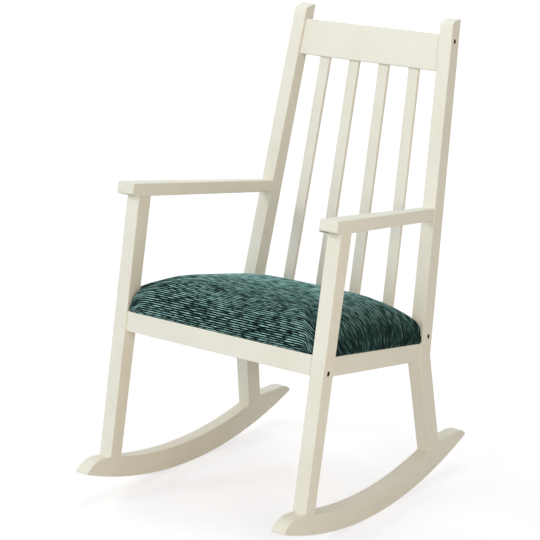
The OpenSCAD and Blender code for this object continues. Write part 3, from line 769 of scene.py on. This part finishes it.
def nutMesh(length):
    # A barrel with a screwdriver slot across its outer end, which is at the origin
    work = bmesh.new()
    r, c, half = nut["radius"], nut["chamfer"], nut["slotWidth"] / 2
    steps = [(r - c, -length), (r, -length + c), (r, -c), (r - c, 0)]
    skin(work, [ringOf(*step, count=32, shift=0.5) for step in steps])
    for side in (-1, 1):
        whole = work.verts[:] + work.edges[:] + work.faces[:]
        bmesh.ops.bisect_plane(work, geom=whole, plane_co=(0, side * half, 0), plane_no=(0, 1, 0))
    inner = []
    for face in work.faces:
        middle = face.calc_center_median()
        if abs(middle.y) < half and middle.z > -c - 1e-6 and face.normal.z > 0.3:
            inner.append(face)
    made = bmesh.ops.extrude_face_region(work, geom=inner)
    for item in made["geom"]:
        if isinstance(item, bmesh.types.BMVert):
            item.co.z = -nut["slotDepth"]
    bmesh.ops.delete(work, geom=[f for f in inner if f.is_valid], context="FACES")
    mesh = toMesh(work, "nutShape")
    smoothBelow(mesh, metalFlat)
    return mesh


screw = {
    "head": 0.0045,
    "headHeight": 0.0026,
    "shank": 0.0020,
    "thread": 0.0009,
    "recess": 0.0007,  # radius between the arms of the cross
    "recessArm": 0.0012,  # how much further its arms reach
    "recessDepth": 0.0014,
}


def screwMesh(length):
    # A pan head with a cross recess and a threaded shank that runs down -Z from the head's face
    r, k, height, thread = screw["head"], screw["shank"], screw["headHeight"], screw["thread"]
    rings = [ringOf(0.0003, -length)]
    for i in range(int((length - height - 0.004) / thread)):
        z = -length + 0.003 + i * thread
        rings += [ringOf(k * 0.72, z), ringOf(k, z + thread / 2)]
    head = [(k * 0.9, 1), (r, 1), (r, 0.62), (r * 0.86, 0.28), (r * 0.6, 0.05)]
    rings += [ringOf(radius, -height * share) for radius, share in head]
    cross = []
    pit = []
    for x, y, _ in ringOf(1, 0):
        reach = screw["recess"] + screw["recessArm"] * abs(x * x - y * y) ** 6
        cross.append((reach * x, reach * y, 0))
        pit.append((reach * 0.55 * x, reach * 0.55 * y, -screw["recessDepth"]))
    return latheMesh("screwShape", rings + [cross, pit])


def fittingTree():
    sockets = [("Shape", "Object", None), ("Scale", "Float", 1.0), ("Material", "Material", None)]
    tree, source = newTree("fittings", sockets)
    shape = addNode(tree, "GeometryNodeObjectInfo", {"Object": source["Shape"]}, transform_space="ORIGINAL")
    size = combined(tree, source["Scale"], source["Scale"], source["Scale"])
    setOnPoints(tree, source, shape.outputs["Geometry"], "axis", "side", "X", size)
    return tree


def endFaces(name, pick):
    # For each solid of a CAD node: the middle and normal of its broadest flat face, and its length behind it.
    # Pick is the way that the face looks where two are alike.
    work = weldedCopy(name, 0.5)
    found = []
    for island in islands(work.faces, lambda face: [f for edge in face.edges for f in edge.link_faces]):
        widest = max(f.calc_area() for f in island)
        ends = [f for f in island if f.calc_area() > 0.9 * widest]
        best = max(ends, key=lambda f: f.normal.dot(Vector(pick)))
        axis = best.normal.normalized()
        depth = np.array([v.co for f in island for v in f.verts]) @ np.array(axis)
        rim = np.array([v.co for v in best.verts])
        found.append((Vector((rim.max(0) + rim.min(0)) / 2), axis, float(np.ptp(depth))))
    work.free()
    return found


fittings = fittingTree()


def setFittings(name, node, shape, ends, material, slot):
    holder = meshObject(name + ".shape", shape)
    sides = []
    for axis in [end[1] for end in ends]:
        side = Vector((0, 0, 1)) if abs(axis.z) < 0.8 else Vector((1, 0, 0))
        sides.append((side - axis * side.dot(axis)).normalized())
    seed = pointsMesh(name + "Places", [e[0] for e in ends], axis=[e[1] for e in ends], side=sides)
    mesh = grown(name, seed, fittings, {"Shape": holder, "Scale": 1.0, "Material": material})
    bpy.data.objects.remove(holder)
    return addPiece(meshObject(name, mesh), slot, node)


boltShape = boltMesh(float(np.ptp(boltGroups[0][:, 0])))
setFittings("frameBolts", "frame_bolts", boltShape, heads, bronzeMaterial, "bronze")
nutEnds = endFaces("cross_nuts", (0, 1, 0))
setFittings("crossNuts", "cross_nuts", nutMesh(nutEnds[0][2]), nutEnds, zincMaterial, "steel")
screwEnds = endFaces("seat_screws", (0, 0, -1))
setFittings("seatScrews", "seat_screws", screwMesh(screwEnds[0][2]), screwEnds, zincMaterial, "steel")
print("fittings set:", len(heads), "bolts,", len(nutEnds), "nuts,", len(screwEnds), "screws")


# Seat cushion: a crowned pad in ribbed cloth, notched round the legs and posts

cushion = {
    "tilt": 7.57,  # degrees that the seat slopes down to the rear
    "wall": 0.020,  # height of the upright side walls
    "crown": 0.094,  # height in the middle
    "crownPower": 2.3,
    "crownFall": 3.4,
    "softPower": 5,  # the soft outline that the notches fade into
    "fade": 0.2,
    "bend": (0.62, 0.26),  # where the straight rows begin to follow the outline, and over how much
    "crowned": 0.97,  # up to here the height is the crown's
    "ease": (0.90, 0.07),  # where it begins to ease into the wall's, and over how much
    "swell": 0.002,
    "cover": 0.0018,
    "lip": 0.0006,  # the foot's edge turns in by this
    "drop": 0.0004,  # and down by this
    "hem": 0.018,
    "hemGap": 0.0002,  # between the hem and the board
    "boardTop": 0.01395,
    "coarse": (76, 70),  # cells across and along for the simulation
    "acrossCells": 190,
    "ribPitch": 0.0049,
    "rowsPerRib": 4,
    "ribHeight": 0.0012,
    "ribFade": 0.004,  # the ribs run out over this height above the foot
    "shadedFlat": 70,
    "seed": 3.0,
    "slub": 0.022,  # length of a thick place in a yarn
    "slubRange": (0.25, 0.75, 0.62, 1.2),  # range of the noise, and how thick the yarn is there
    "streak": 0.042,  # length of a lighter or darker stretch of a yarn
    "streakRange": (0.3, 0.7, 0.0, 1.0),
    "streakApart": 5.3,
    # Painted shade where the cloth turns down at the sides and the rear: range of the normal, and how much
    # of the tone is left at its ends
    "sideShade": (0.5, 0.97, 1.0, 0.56),
    "rearShade": (0.13, 0.32, 1.0, 0.6),
    "turn": 0.024,  # the outer ribs turn down this far before the front and rear corners
    "corner": 0.005,  # radius of the outline's outer corners
    "pressure": 4.5,
    "frames": 20,
    "held": (1.0, 0.7, 0.35),  # how firmly the outermost rings of points are held
    "cap": 0.008,
    "start": 0.0025,  # the pad starts this much smaller than the cover
}

tilt = math.radians(cushion["tilt"])
seatAxes = np.array([[1, 0, 0], [0, math.cos(tilt), -math.sin(tilt)], [0, math.sin(tilt), math.cos(tilt)]])


def seatOutline():
    # The seat's frame, and the corners of the right half of its outline, measured from the CAD cover
    points = pointsOf(nodes["seat_cover"].data) @ seatAxes.T
    foot = points[:, 2].min()
    ring = points[points[:, 2] < foot + 3e-4]
    front = ring[:, 1].min()
    rear = ring[:, 1].max()
    frontX = ring[ring[:, 1] < front + 3e-4][:, 0].max()
    rearX = ring[ring[:, 1] > rear - 3e-4][:, 0].max()
    broad = ring[ring[:, 0].argmax()]
    back = ring[(ring[:, 0] + ring[:, 1]).argmax()]
    fore = [(0, front), (frontX, front), (frontX, broad[1]), (broad[0], broad[1])]
    aft = [(back[0], back[1]), (rearX, back[1]), (rearX, rear), (0, rear)]
    return np.array(fore + aft), foot


corners, footLevel = seatOutline()
seatFront, seatRear = corners[0, 1], corners[7, 1]
seatMid = (seatFront + seatRear) / 2
seatHalf = (seatRear - seatFront) / 2
meanHalf = (seatHalf + corners[3, 0]) / 2
railSlope = (corners[4, 0] - corners[3, 0]) / (corners[4, 1] - corners[3, 1])


def roundedPath():
    # The right side's outline with rounded outer corners, and a run of the front and rear edges at its ends
    r, turn = cushion["corner"], cushion["turn"]
    frontX, rearX = corners[1, 0], corners[6, 0]
    arc = [(math.sin(t), 1 - math.cos(t)) for t in np.radians([0, 22.5, 45, 67.5, 90])]
    path = [(frontX - turn, seatFront)]
    path += [(frontX - r + r * across, seatFront + r * along) for across, along in arc]
    path += [tuple(corners[k]) for k in (2, 3, 4, 5)]
    path += [(rearX - r + r * across, seatRear - r * along) for across, along in reversed(arc)]
    path += [(rearX - turn, seatRear)]
    path = np.array(path)
    lengths = np.hypot(*np.diff(path, axis=0).T)
    return path, np.concatenate([[0], np.cumsum(lengths)]) / lengths.sum() * 2 - 1


sidePath, sideMarks = roundedPath()


def railOut(y):
    return corners[3, 0] + railSlope * (y - corners[3, 1])


def fromSeat(points):
    # Seat frame to chair frame; heights count from the cover's foot
    moved = np.array(points, dtype=float)
    moved[..., 2] += footLevel
    return moved @ seatAxes


def crownHeight(share):
    share = np.clip(share, 0, 1)
    rise = (1 - share ** cushion["crownPower"]) ** (1 / cushion["crownFall"])
    return cushion["wall"] + (cushion["crown"] - cushion["wall"]) * rise


def fromMiddle(x, y):
    # The way from the seat's middle to a plan point, and how far it is
    return x, y - seatMid, np.maximum(np.hypot(x, y - seatMid), 1e-9)


def softReach(x, y):
    dx, dy, n = fromMiddle(x, y)
    p = cushion["softPower"]
    total = (np.abs(dx) / n / railOut(y)) ** p + (np.abs(dy) / n / seatHalf) ** p
    return np.maximum(total, 1e-12) ** (-1 / p)


def drawnIn(edge, share):
    # Outline points drawn in towards the seat's middle, with the notches fading out
    dx, dy, n = fromMiddle(edge[..., 0], edge[..., 1])
    fade = cushion["fade"]
    w = np.clip((share - 1 + fade) / fade, 0, 1)
    reach = w * n + (1 - w) * np.minimum(softReach(edge[..., 0], edge[..., 1]), n * (1 + fade))
    out = share * reach / n
    return np.stack([dx * out, seatMid + dy * out], -1)


def outlineAt(a, b):
    # The outline point that a point of the unit square's edge stands for
    side = np.abs(a) >= np.abs(b)
    big = np.maximum(np.maximum(np.abs(a), np.abs(b)), 1e-9)
    sa, sb = a / big, b / big
    sideX = np.interp(sb, sideMarks, sidePath[:, 0]) * np.sign(sa)
    sideY = np.interp(sb, sideMarks, sidePath[:, 1])
    frontX = np.where(sb < 0, sidePath[0, 0], sidePath[-1, 0]) * sa
    frontY = np.where(sb < 0, seatFront, seatRear)
    return np.stack([np.where(side, sideX, frontX), np.where(side, sideY, frontY)], -1)


def profile():
    # From the middle out and down the wall, by arc length: shares, heights, and the whole length
    share = np.sin(np.linspace(0, math.pi / 2, 200))
    height = crownHeight(share)
    walls = np.linspace(cushion["wall"], 0, 20)[1:]
    bulge = 1 + cushion["swell"] / corners[3, 0] * (1 - np.abs(2 * walls / cushion["wall"] - 1))
    share = np.concatenate([share, bulge])
    height = np.concatenate([height, walls])
    length = np.concatenate([[0], np.cumsum(np.hypot(np.diff(share * meanHalf), np.diff(height)))])
    return share, height, length


shares, heights, arcs = profile()


def shareAt(x, y):
    # The share whose drawn-in outline passes through a plan point, found by halving
    dx, dy, n = fromMiddle(x, y)
    turns = np.linspace(-math.pi, math.pi, 2001)
    rimX, rimY, rimReach = fromMiddle(*outlineAt(np.cos(turns), np.sin(turns)).T)
    rimAngle = np.arctan2(rimY, rimX)
    order = np.argsort(rimAngle)
    reach = np.interp(np.arctan2(dy, dx), rimAngle[order], rimReach[order])
    edge = np.stack([dx / n * reach, seatMid + dy / n * reach], -1)
    low, high = np.zeros_like(n), np.ones_like(n)
    for _ in range(30):
        middle = (low + high) / 2
        inside = np.linalg.norm(drawnIn(edge, middle) - (0, seatMid), axis=-1) < n
        low, high = np.where(inside, middle, low), np.where(inside, high, middle)
    return np.where(np.hypot(dx, dy) < 1e-6, 0, (low + high) / 2)


def risen(share, span):
    # From 0 to 1 while the share runs through the span, given as its start and its length
    return np.clip((share - span[0]) / span[1], 0, 1)


def restingForm(across, along):
    # The cover as a square grid of points: straight rows on top, drawn to the notched outline at the rim
    a, b = np.meshgrid(np.linspace(-1, 1, across + 1), np.linspace(-1, 1, along + 1))
    rho = np.maximum(np.abs(a), np.abs(b))
    share = np.interp(rho * arcs[-1], arcs, shares)
    height = np.interp(rho * arcs[-1], arcs, heights)
    ratio = share / np.maximum(rho, 1e-9)
    y = seatMid + b * seatHalf * ratio
    plain = np.stack([a * railOut(y) * ratio, y], -1)
    rimmed = drawnIn(outlineAt(a, b), share)
    w = risen(share, cushion["bend"])
    w = (w * w * (3 - 2 * w))[..., None]
    plan = plain * (1 - w) + rimmed * w
    inside = share < cushion["crowned"]
    level = np.where(inside, crownHeight(shareAt(plan[..., 0], plan[..., 1])), height)
    ease = risen(share, cushion["ease"])
    level = level * (1 - ease) + height * ease
    return np.concatenate([plan, level[..., None]], -1)


def splineWeights(coarse, fine):
    # Rows that take points on a coarse line to a fine one along a smooth spline
    table = np.zeros((fine + 1, coarse + 3))
    for i in range(fine + 1):
        t = i * coarse / fine
        k = min(int(t), coarse - 1)
        f = t - k
        table[i, k] = -0.5 * f + f * f - 0.5 * f**3
        table[i, k + 1] = 1 - 2.5 * f * f + 1.5 * f**3
        table[i, k + 2] = 0.5 * f + 2 * f * f - 1.5 * f**3
        table[i, k + 3] = -0.5 * f * f + 0.5 * f**3
    # The points past the ends lie on the line through the last two
    for past, last, before in ((0, 1, 2), (-1, -2, -3)):
        table[:, last] += 2 * table[:, past]
        table[:, before] -= table[:, past]
    return table[:, 1:-1]


def gridFaces(across, along):
    first = (np.arange(along)[:, None] * (across + 1) + np.arange(across)[None, :]).ravel()
    return np.stack([first, first + 1, first + across + 2, first + across + 1], -1)


def puffed(grid):
    # Blows the cover up from inside with its foot held, and lets no point move further than the cap
    along, across = grid.shape[0] - 1, grid.shape[1] - 1
    mesh = bpy.data.meshes.new("puff")
    start = fromSeat(grid).reshape(-1, 3)
    mesh.from_pydata(start.tolist(), [], gridFaces(across, along).tolist())
    obj = meshObject("puff", mesh)
    held = obj.vertex_groups.new(name="held")
    index = np.arange(len(start)).reshape(along + 1, across + 1)
    for k, weight in enumerate(cushion["held"]):
        inner = index[k : along + 1 - k, k : across + 1 - k]
        ring = np.concatenate([inner[0], inner[-1], inner[:, 0], inner[:, -1]])
        held.add([int(i) for i in np.unique(ring)], weight, "REPLACE")
    cloth = obj.modifiers.new("puff", "CLOTH")
    stiffness = {"tension": 18, "compression": 18, "shear": 8, "bending": 0.8}
    for kind, value in stiffness.items():
        setattr(cloth.settings, kind + "_stiffness", value)
    cloth.settings.quality = 6
    cloth.settings.mass = 0.3
    cloth.settings.use_pressure = True
    cloth.settings.uniform_pressure_force = cushion["pressure"]
    cloth.settings.vertex_group_mass = "held"
    cloth.settings.effector_weights.gravity = 0
    cloth.collision_settings.use_collision = False
    cloth.point_cache.frame_start = 1
    cloth.point_cache.frame_end = cushion["frames"]
    for number in range(1, cushion["frames"] + 1):
        scene.frame_set(number)
    step = pointsOf(obj.evaluated_get(bpy.context.evaluated_depsgraph_get()).data) - start
    scene.frame_set(1)
    bpy.data.objects.remove(obj)
    far = np.linalg.norm(step, axis=1)
    most, mean = [round(float(value) * 1000, 1) for value in (far.max(), far.mean())]
    print("cloth moved up to", most, "mm, mean", mean)
    step *= (cushion["cap"] * np.tanh(far / cushion["cap"]) / np.maximum(far, 1e-9))[:, None]
    there = (start + step) @ seatAxes.T
    there[:, 2] -= footLevel
    return there.reshape(grid.shape)


def stored(tree, geometry, name, value):
    inputs = {"Geometry": geometry, "Name": name, "Value": value}
    node = addNode(tree, "GeometryNodeStoreNamedAttribute", inputs, data_type="FLOAT", domain="POINT")
    return node.outputs[0]


def ribTree():
    # Raises the cover along the waves of its ribs. For the cloth it stores a painted shade where the cover
    # faces sideways or to the rear, how thick the pile is and how light the yarn runs.
    sockets = [("Pitch", "Float", 0.005), ("Height", "Float", 0.001), ("Slub length", "Float", 0.016)]
    sockets += [("Streak length", "Float", 0.05), ("Seed", "Float", 0.0), ("Material", "Material", None)]
    tree, source = newTree("ribs", sockets)
    axes = addNode(tree, "ShaderNodeSeparateXYZ", {"Vector": attribute(tree, "clothPlace")}).outputs
    turns = calc(tree, "DIVIDE", axes["Y"], source["Pitch"])
    whole = calc(tree, "ROUND", turns)
    wave = calc(tree, "COSINE", calc(tree, "MULTIPLY", turns, 2 * math.pi))
    pile = calc(tree, "MULTIPLY_ADD", wave, 0.5, 0.5)

    def alongYarn(length, row, detail):
        # Noise that runs on along a yarn and has nothing to do with the yarn beside it
        run = calc(tree, "DIVIDE", axes["X"], length)
        return noise(tree, combined(tree, run, row, source["Seed"]), 1.0, detail)

    slub = alongYarn(source["Slub length"], whole, 1.0)
    thick = calc(tree, "MULTIPLY", pile, rescaled(tree, slub, *cushion["slubRange"]))
    faded = calc(tree, "MULTIPLY", thick, axes["Z"])
    rise = calc(tree, "MULTIPLY", faded, source["Height"])
    normal = addNode(tree, "GeometryNodeInputNormal").outputs["Normal"]
    facing = addNode(tree, "ShaderNodeSeparateXYZ", {"Vector": normal}).outputs
    # Painted shade: the cloth is made darker where its normal faces sideways or to the rear
    side = rescaled(tree, calc(tree, "ABSOLUTE", facing["X"]), *cushion["sideShade"])
    rear = rescaled(tree, facing["Y"], *cushion["rearShade"])
    withShade = stored(tree, source["Geometry"], "nap", calc(tree, "MULTIPLY", side, rear))
    offset = addNode(tree, "ShaderNodeVectorMath", {0: normal, "Scale": rise}, operation="SCALE").outputs[0]
    raised = addNode(tree, "GeometryNodeSetPosition", {"Geometry": withShade, "Offset": offset}).outputs[0]
    piled = stored(tree, raised, "pile", thick)
    apart = calc(tree, "MULTIPLY", whole, cushion["streakApart"])
    streak = alongYarn(source["Streak length"], apart, 2.0)
    toned = stored(tree, piled, "yarn", rescaled(tree, streak, *cushion["streakRange"]))
    closeTree(tree, toned, source)
    return tree


def makeCushion():
    across, along = cushion["coarse"]
    grid = restingForm(across, along)
    smaller = grid.copy()
    smaller[..., 2] -= cushion["start"] * np.minimum(1, grid[..., 2] / cushion["wall"])
    grid = puffed(smaller)
    lengthAlong = 2 * arcs[-1] * seatHalf / meanHalf
    lengthAcross = 2 * arcs[-1] * corners[3, 0] / meanHalf
    ribs = round(lengthAlong / cushion["ribPitch"])
    fineAcross, fineAlong = cushion["acrossCells"], ribs * cushion["rowsPerRib"]
    fine = np.einsum("ij,jkc->ikc", splineWeights(along, fineAlong), grid)
    fine = np.einsum("ij,kjc->kic", splineWeights(across, fineAcross), fine)
    u, v = np.meshgrid(
        np.linspace(-lengthAcross / 2, lengthAcross / 2, fineAcross + 1),
        np.linspace(-lengthAlong / 2, lengthAlong / 2, fineAlong + 1),
    )
    fade = np.clip(fine[..., 2] / cushion["ribFade"], 0, 1)
    points = fine.reshape(-1, 3)
    place = np.stack([u, v, fade], -1).reshape(-1, 3)
    faces = gridFaces(fineAcross, fineAlong).tolist()
    # The hem: rings that run from the cover's foot in under the board, up, and back out over it
    index = np.arange(len(points)).reshape(fineAlong + 1, fineAcross + 1)
    previous = np.concatenate([index[0, :-1], index[:-1, -1], index[-1, :0:-1], index[:0:-1, 0]])
    count = len(previous)
    following = np.roll(np.arange(count), -1)
    rim = points[previous]
    rimPlace = place[previous]
    reach = np.hypot(rim[:, 0], rim[:, 1] - seatMid)[:, None]
    inward = np.stack([-rim[:, 0], seatMid - rim[:, 1]], -1) / reach
    cover, hem, top = cushion["cover"], cushion["hem"], cushion["boardTop"]
    low, high = -cushion["drop"], cover - cushion["hemGap"]
    parts, places = [points], [place]
    start = len(points)
    for less, height in ((cushion["lip"], low), (hem, low), (hem, high), (cover, high), (cover, top)):
        parts.append(np.concatenate([rim[:, :2] + inward * less, np.full((count, 1), height)], -1))
        places.append(np.concatenate([rimPlace[:, :2] + inward * less, np.zeros((count, 1))], -1))
        now = np.arange(count) + start
        faces += np.stack([previous[following], previous, now, now[following]], -1).tolist()
        previous = now
        start += count
    parts.append(np.array([[0, seatMid, top]]))
    places.append(np.zeros((1, 3)))
    faces += [[int(b), int(a), start] for a, b in zip(previous, previous[following])]
    place = np.concatenate(places)
    mesh = bpy.data.meshes.new("cushionCover")
    mesh.from_pydata(fromSeat(np.concatenate(parts)).tolist(), [], faces)
    layer = mesh.attributes.new("clothPlace", "FLOAT_VECTOR", "POINT")
    layer.data.foreach_set("vector", place.ravel())
    uv = mesh.uv_layers.new(name="cloth")
    order = np.empty(len(mesh.loops), dtype=np.int32)
    mesh.loops.foreach_get("vertex_index", order)
    uv.data.foreach_set("uv", place[order, :2].ravel())
    yarns = {
        "Pitch": float(lengthAlong / ribs),
        "Height": cushion["ribHeight"],
        "Slub length": cushion["slub"],
        "Streak length": cushion["streak"],
        "Seed": cushion["seed"],
        "Material": clothMaterial,
    }
    made = grown("seatCushion", mesh, ribTree(), yarns)
    smoothBelow(made, cushion["shadedFlat"])
    obj = meshObject("seatCushion", made)
    addPiece(obj, "cloth", "seat_cover", "seat_foam")
    print("cushion made:", ribs, "ribs,", len(made.polygons), "faces")


makeCushion()


# Studio: a white floor that runs to the horizon, soft lamps and an even room

studio = {
    "floor": "#F2F1EE",
    "floorShade": 0.80,
    "floorSeen": 0.66,  # share of that shade in what the camera sees: it sets how deep the object's shadow is
    "floorGlow": 1.068,  # the level that the open floor's own glow brings it to
    "floorReach": 60,
    "floorCells": 100,
    "floorGather": 4,  # how strongly the floor's cells gather round the object
    "room": (1.0, 1.0, 0.93),
    "roomLevel": 0.22,
    "aim": (0, 0, 0.55),
}
# Each lamp: its place, how wide it is, its power in watts and its colour
lamps = {
    "keyLamp": ((-2.3, -3.4, 2.6), 1.3, 58, (0.91, 0.98, 1.0)),
    "fillLamp": ((3.2, -2.6, 1.7), 2.6, 84, (1.0, 0.88, 0.75)),
    "topLamp": ((-0.3, 0.3, 3.4), 2.4, 38, (0.87, 0.94, 1.0)),
    "leftLamp": ((-3.6, 0.2, 1.8), 2.2, 36, (1.0, 0.91, 0.76)),
    "frontLamp": ((-0.9, -4.4, 0.9), 2.4, 34, (0.56, 0.72, 1.0)),
}


def seenDirectly(tree):
    # 1 for rays from the camera and for those that make reflections or pass through glass
    rays = addNode(tree, "ShaderNodeLightPath").outputs
    seen = calc(tree, "MAXIMUM", rays["Is Camera Ray"], rays["Is Glossy Ray"])
    return calc(tree, "MAXIMUM", seen, rays["Is Transmission Ray"])


def makeRoom():
    world = bpy.data.worlds.new("studio")
    scene.world = world
    world.use_nodes = True
    tree = world.node_tree
    tree.nodes.clear()
    room = {"Color": (*studio["room"], 1), "Strength": studio["roomLevel"]}
    lit = addNode(tree, "ShaderNodeBackground", room).outputs[0]
    white = addNode(tree, "ShaderNodeBackground", {"Color": (1, 1, 1, 1), "Strength": 1.0}).outputs[0]
    mixed = addNode(tree, "ShaderNodeMixShader", {0: seenDirectly(tree), 1: lit, 2: white}).outputs[0]
    addNode(tree, "ShaderNodeOutputWorld", {"Surface": mixed})


def floorLight(places):
    # What an open point of the floor gets from the room and the lamps, as a white floor would show it
    total = np.ones((len(places), 1)) * np.array(studio["room"]) * studio["roomLevel"]
    for place, _, power, colour in lamps.values():
        away = places - np.array(place)
        reach = np.linalg.norm(away, axis=1)
        aim = np.array(studio["aim"]) - np.array(place)
        facing = np.maximum(away @ (aim / np.linalg.norm(aim)) / reach, 0)
        share = power * facing * place[2] / (reach * math.pi**2 * reach**2)
        total += share[:, None] * np.array(colour)
    return total


def makeFloor():
    # A seamless white studio floor. Where nothing shades it, its own faint glow brings it to plain white.
    material, tree = newMaterial("paperFloor")
    seen = seenDirectly(tree)
    shade = np.array(linear(studio["floor"])[:3]) * studio["floorShade"]
    seenShade = shade * studio["floorSeen"]
    shades = {"Factor": seen, "A": (*shade, 1), "B": (*seenShade, 1)}
    colour = addNode(tree, "ShaderNodeMix", shades, data_type="RGBA").outputs["Result"]
    matt = addNode(tree, "ShaderNodeBsdfDiffuse", {"Color": colour}).outputs[0]
    glow = pointValue(tree, "glow").outputs["Color"]
    light = addNode(tree, "ShaderNodeEmission", {"Color": glow, "Strength": seen}).outputs[0]
    finishMaterial(tree, "ShaderNodeAddShader", {0: matt, 1: light})
    cells, gather = studio["floorCells"], studio["floorGather"]
    line = studio["floorReach"] * np.sinh(np.linspace(-gather, gather, cells + 1)) / math.sinh(gather)
    x, y = np.meshgrid(line, line)
    places = np.stack([x.ravel(), y.ravel(), 0 * x.ravel()], -1)
    mesh = bpy.data.meshes.new("studioFloor")
    mesh.from_pydata(places.tolist(), [], gridFaces(cells, cells).tolist())
    levels = np.ones((len(places), 4))
    levels[:, :3] = np.maximum(studio["floorGlow"] - seenShade * floorLight(places), 0)
    layer = mesh.color_attributes.new("glow", "FLOAT_COLOR", "POINT")
    layer.data.foreach_set("color", levels.ravel())
    meshObject("studioFloor", mesh, material)


def makeLamp(name, place, size, power, colour):
    light = bpy.data.lights.new(name, "AREA")
    light.shape = "DISK"
    light.size = size
    light.energy = power
    light.color = colour
    turn = (Vector(studio["aim"]) - Vector(place)).to_track_quat("-Z", "Y").to_matrix().to_4x4()
    linked(name, light).matrix_world = Matrix.Translation(place) @ turn


makeRoom()
makeFloor()
for name, settings in lamps.items():
    makeLamp(name, *settings)
print("studio lit")
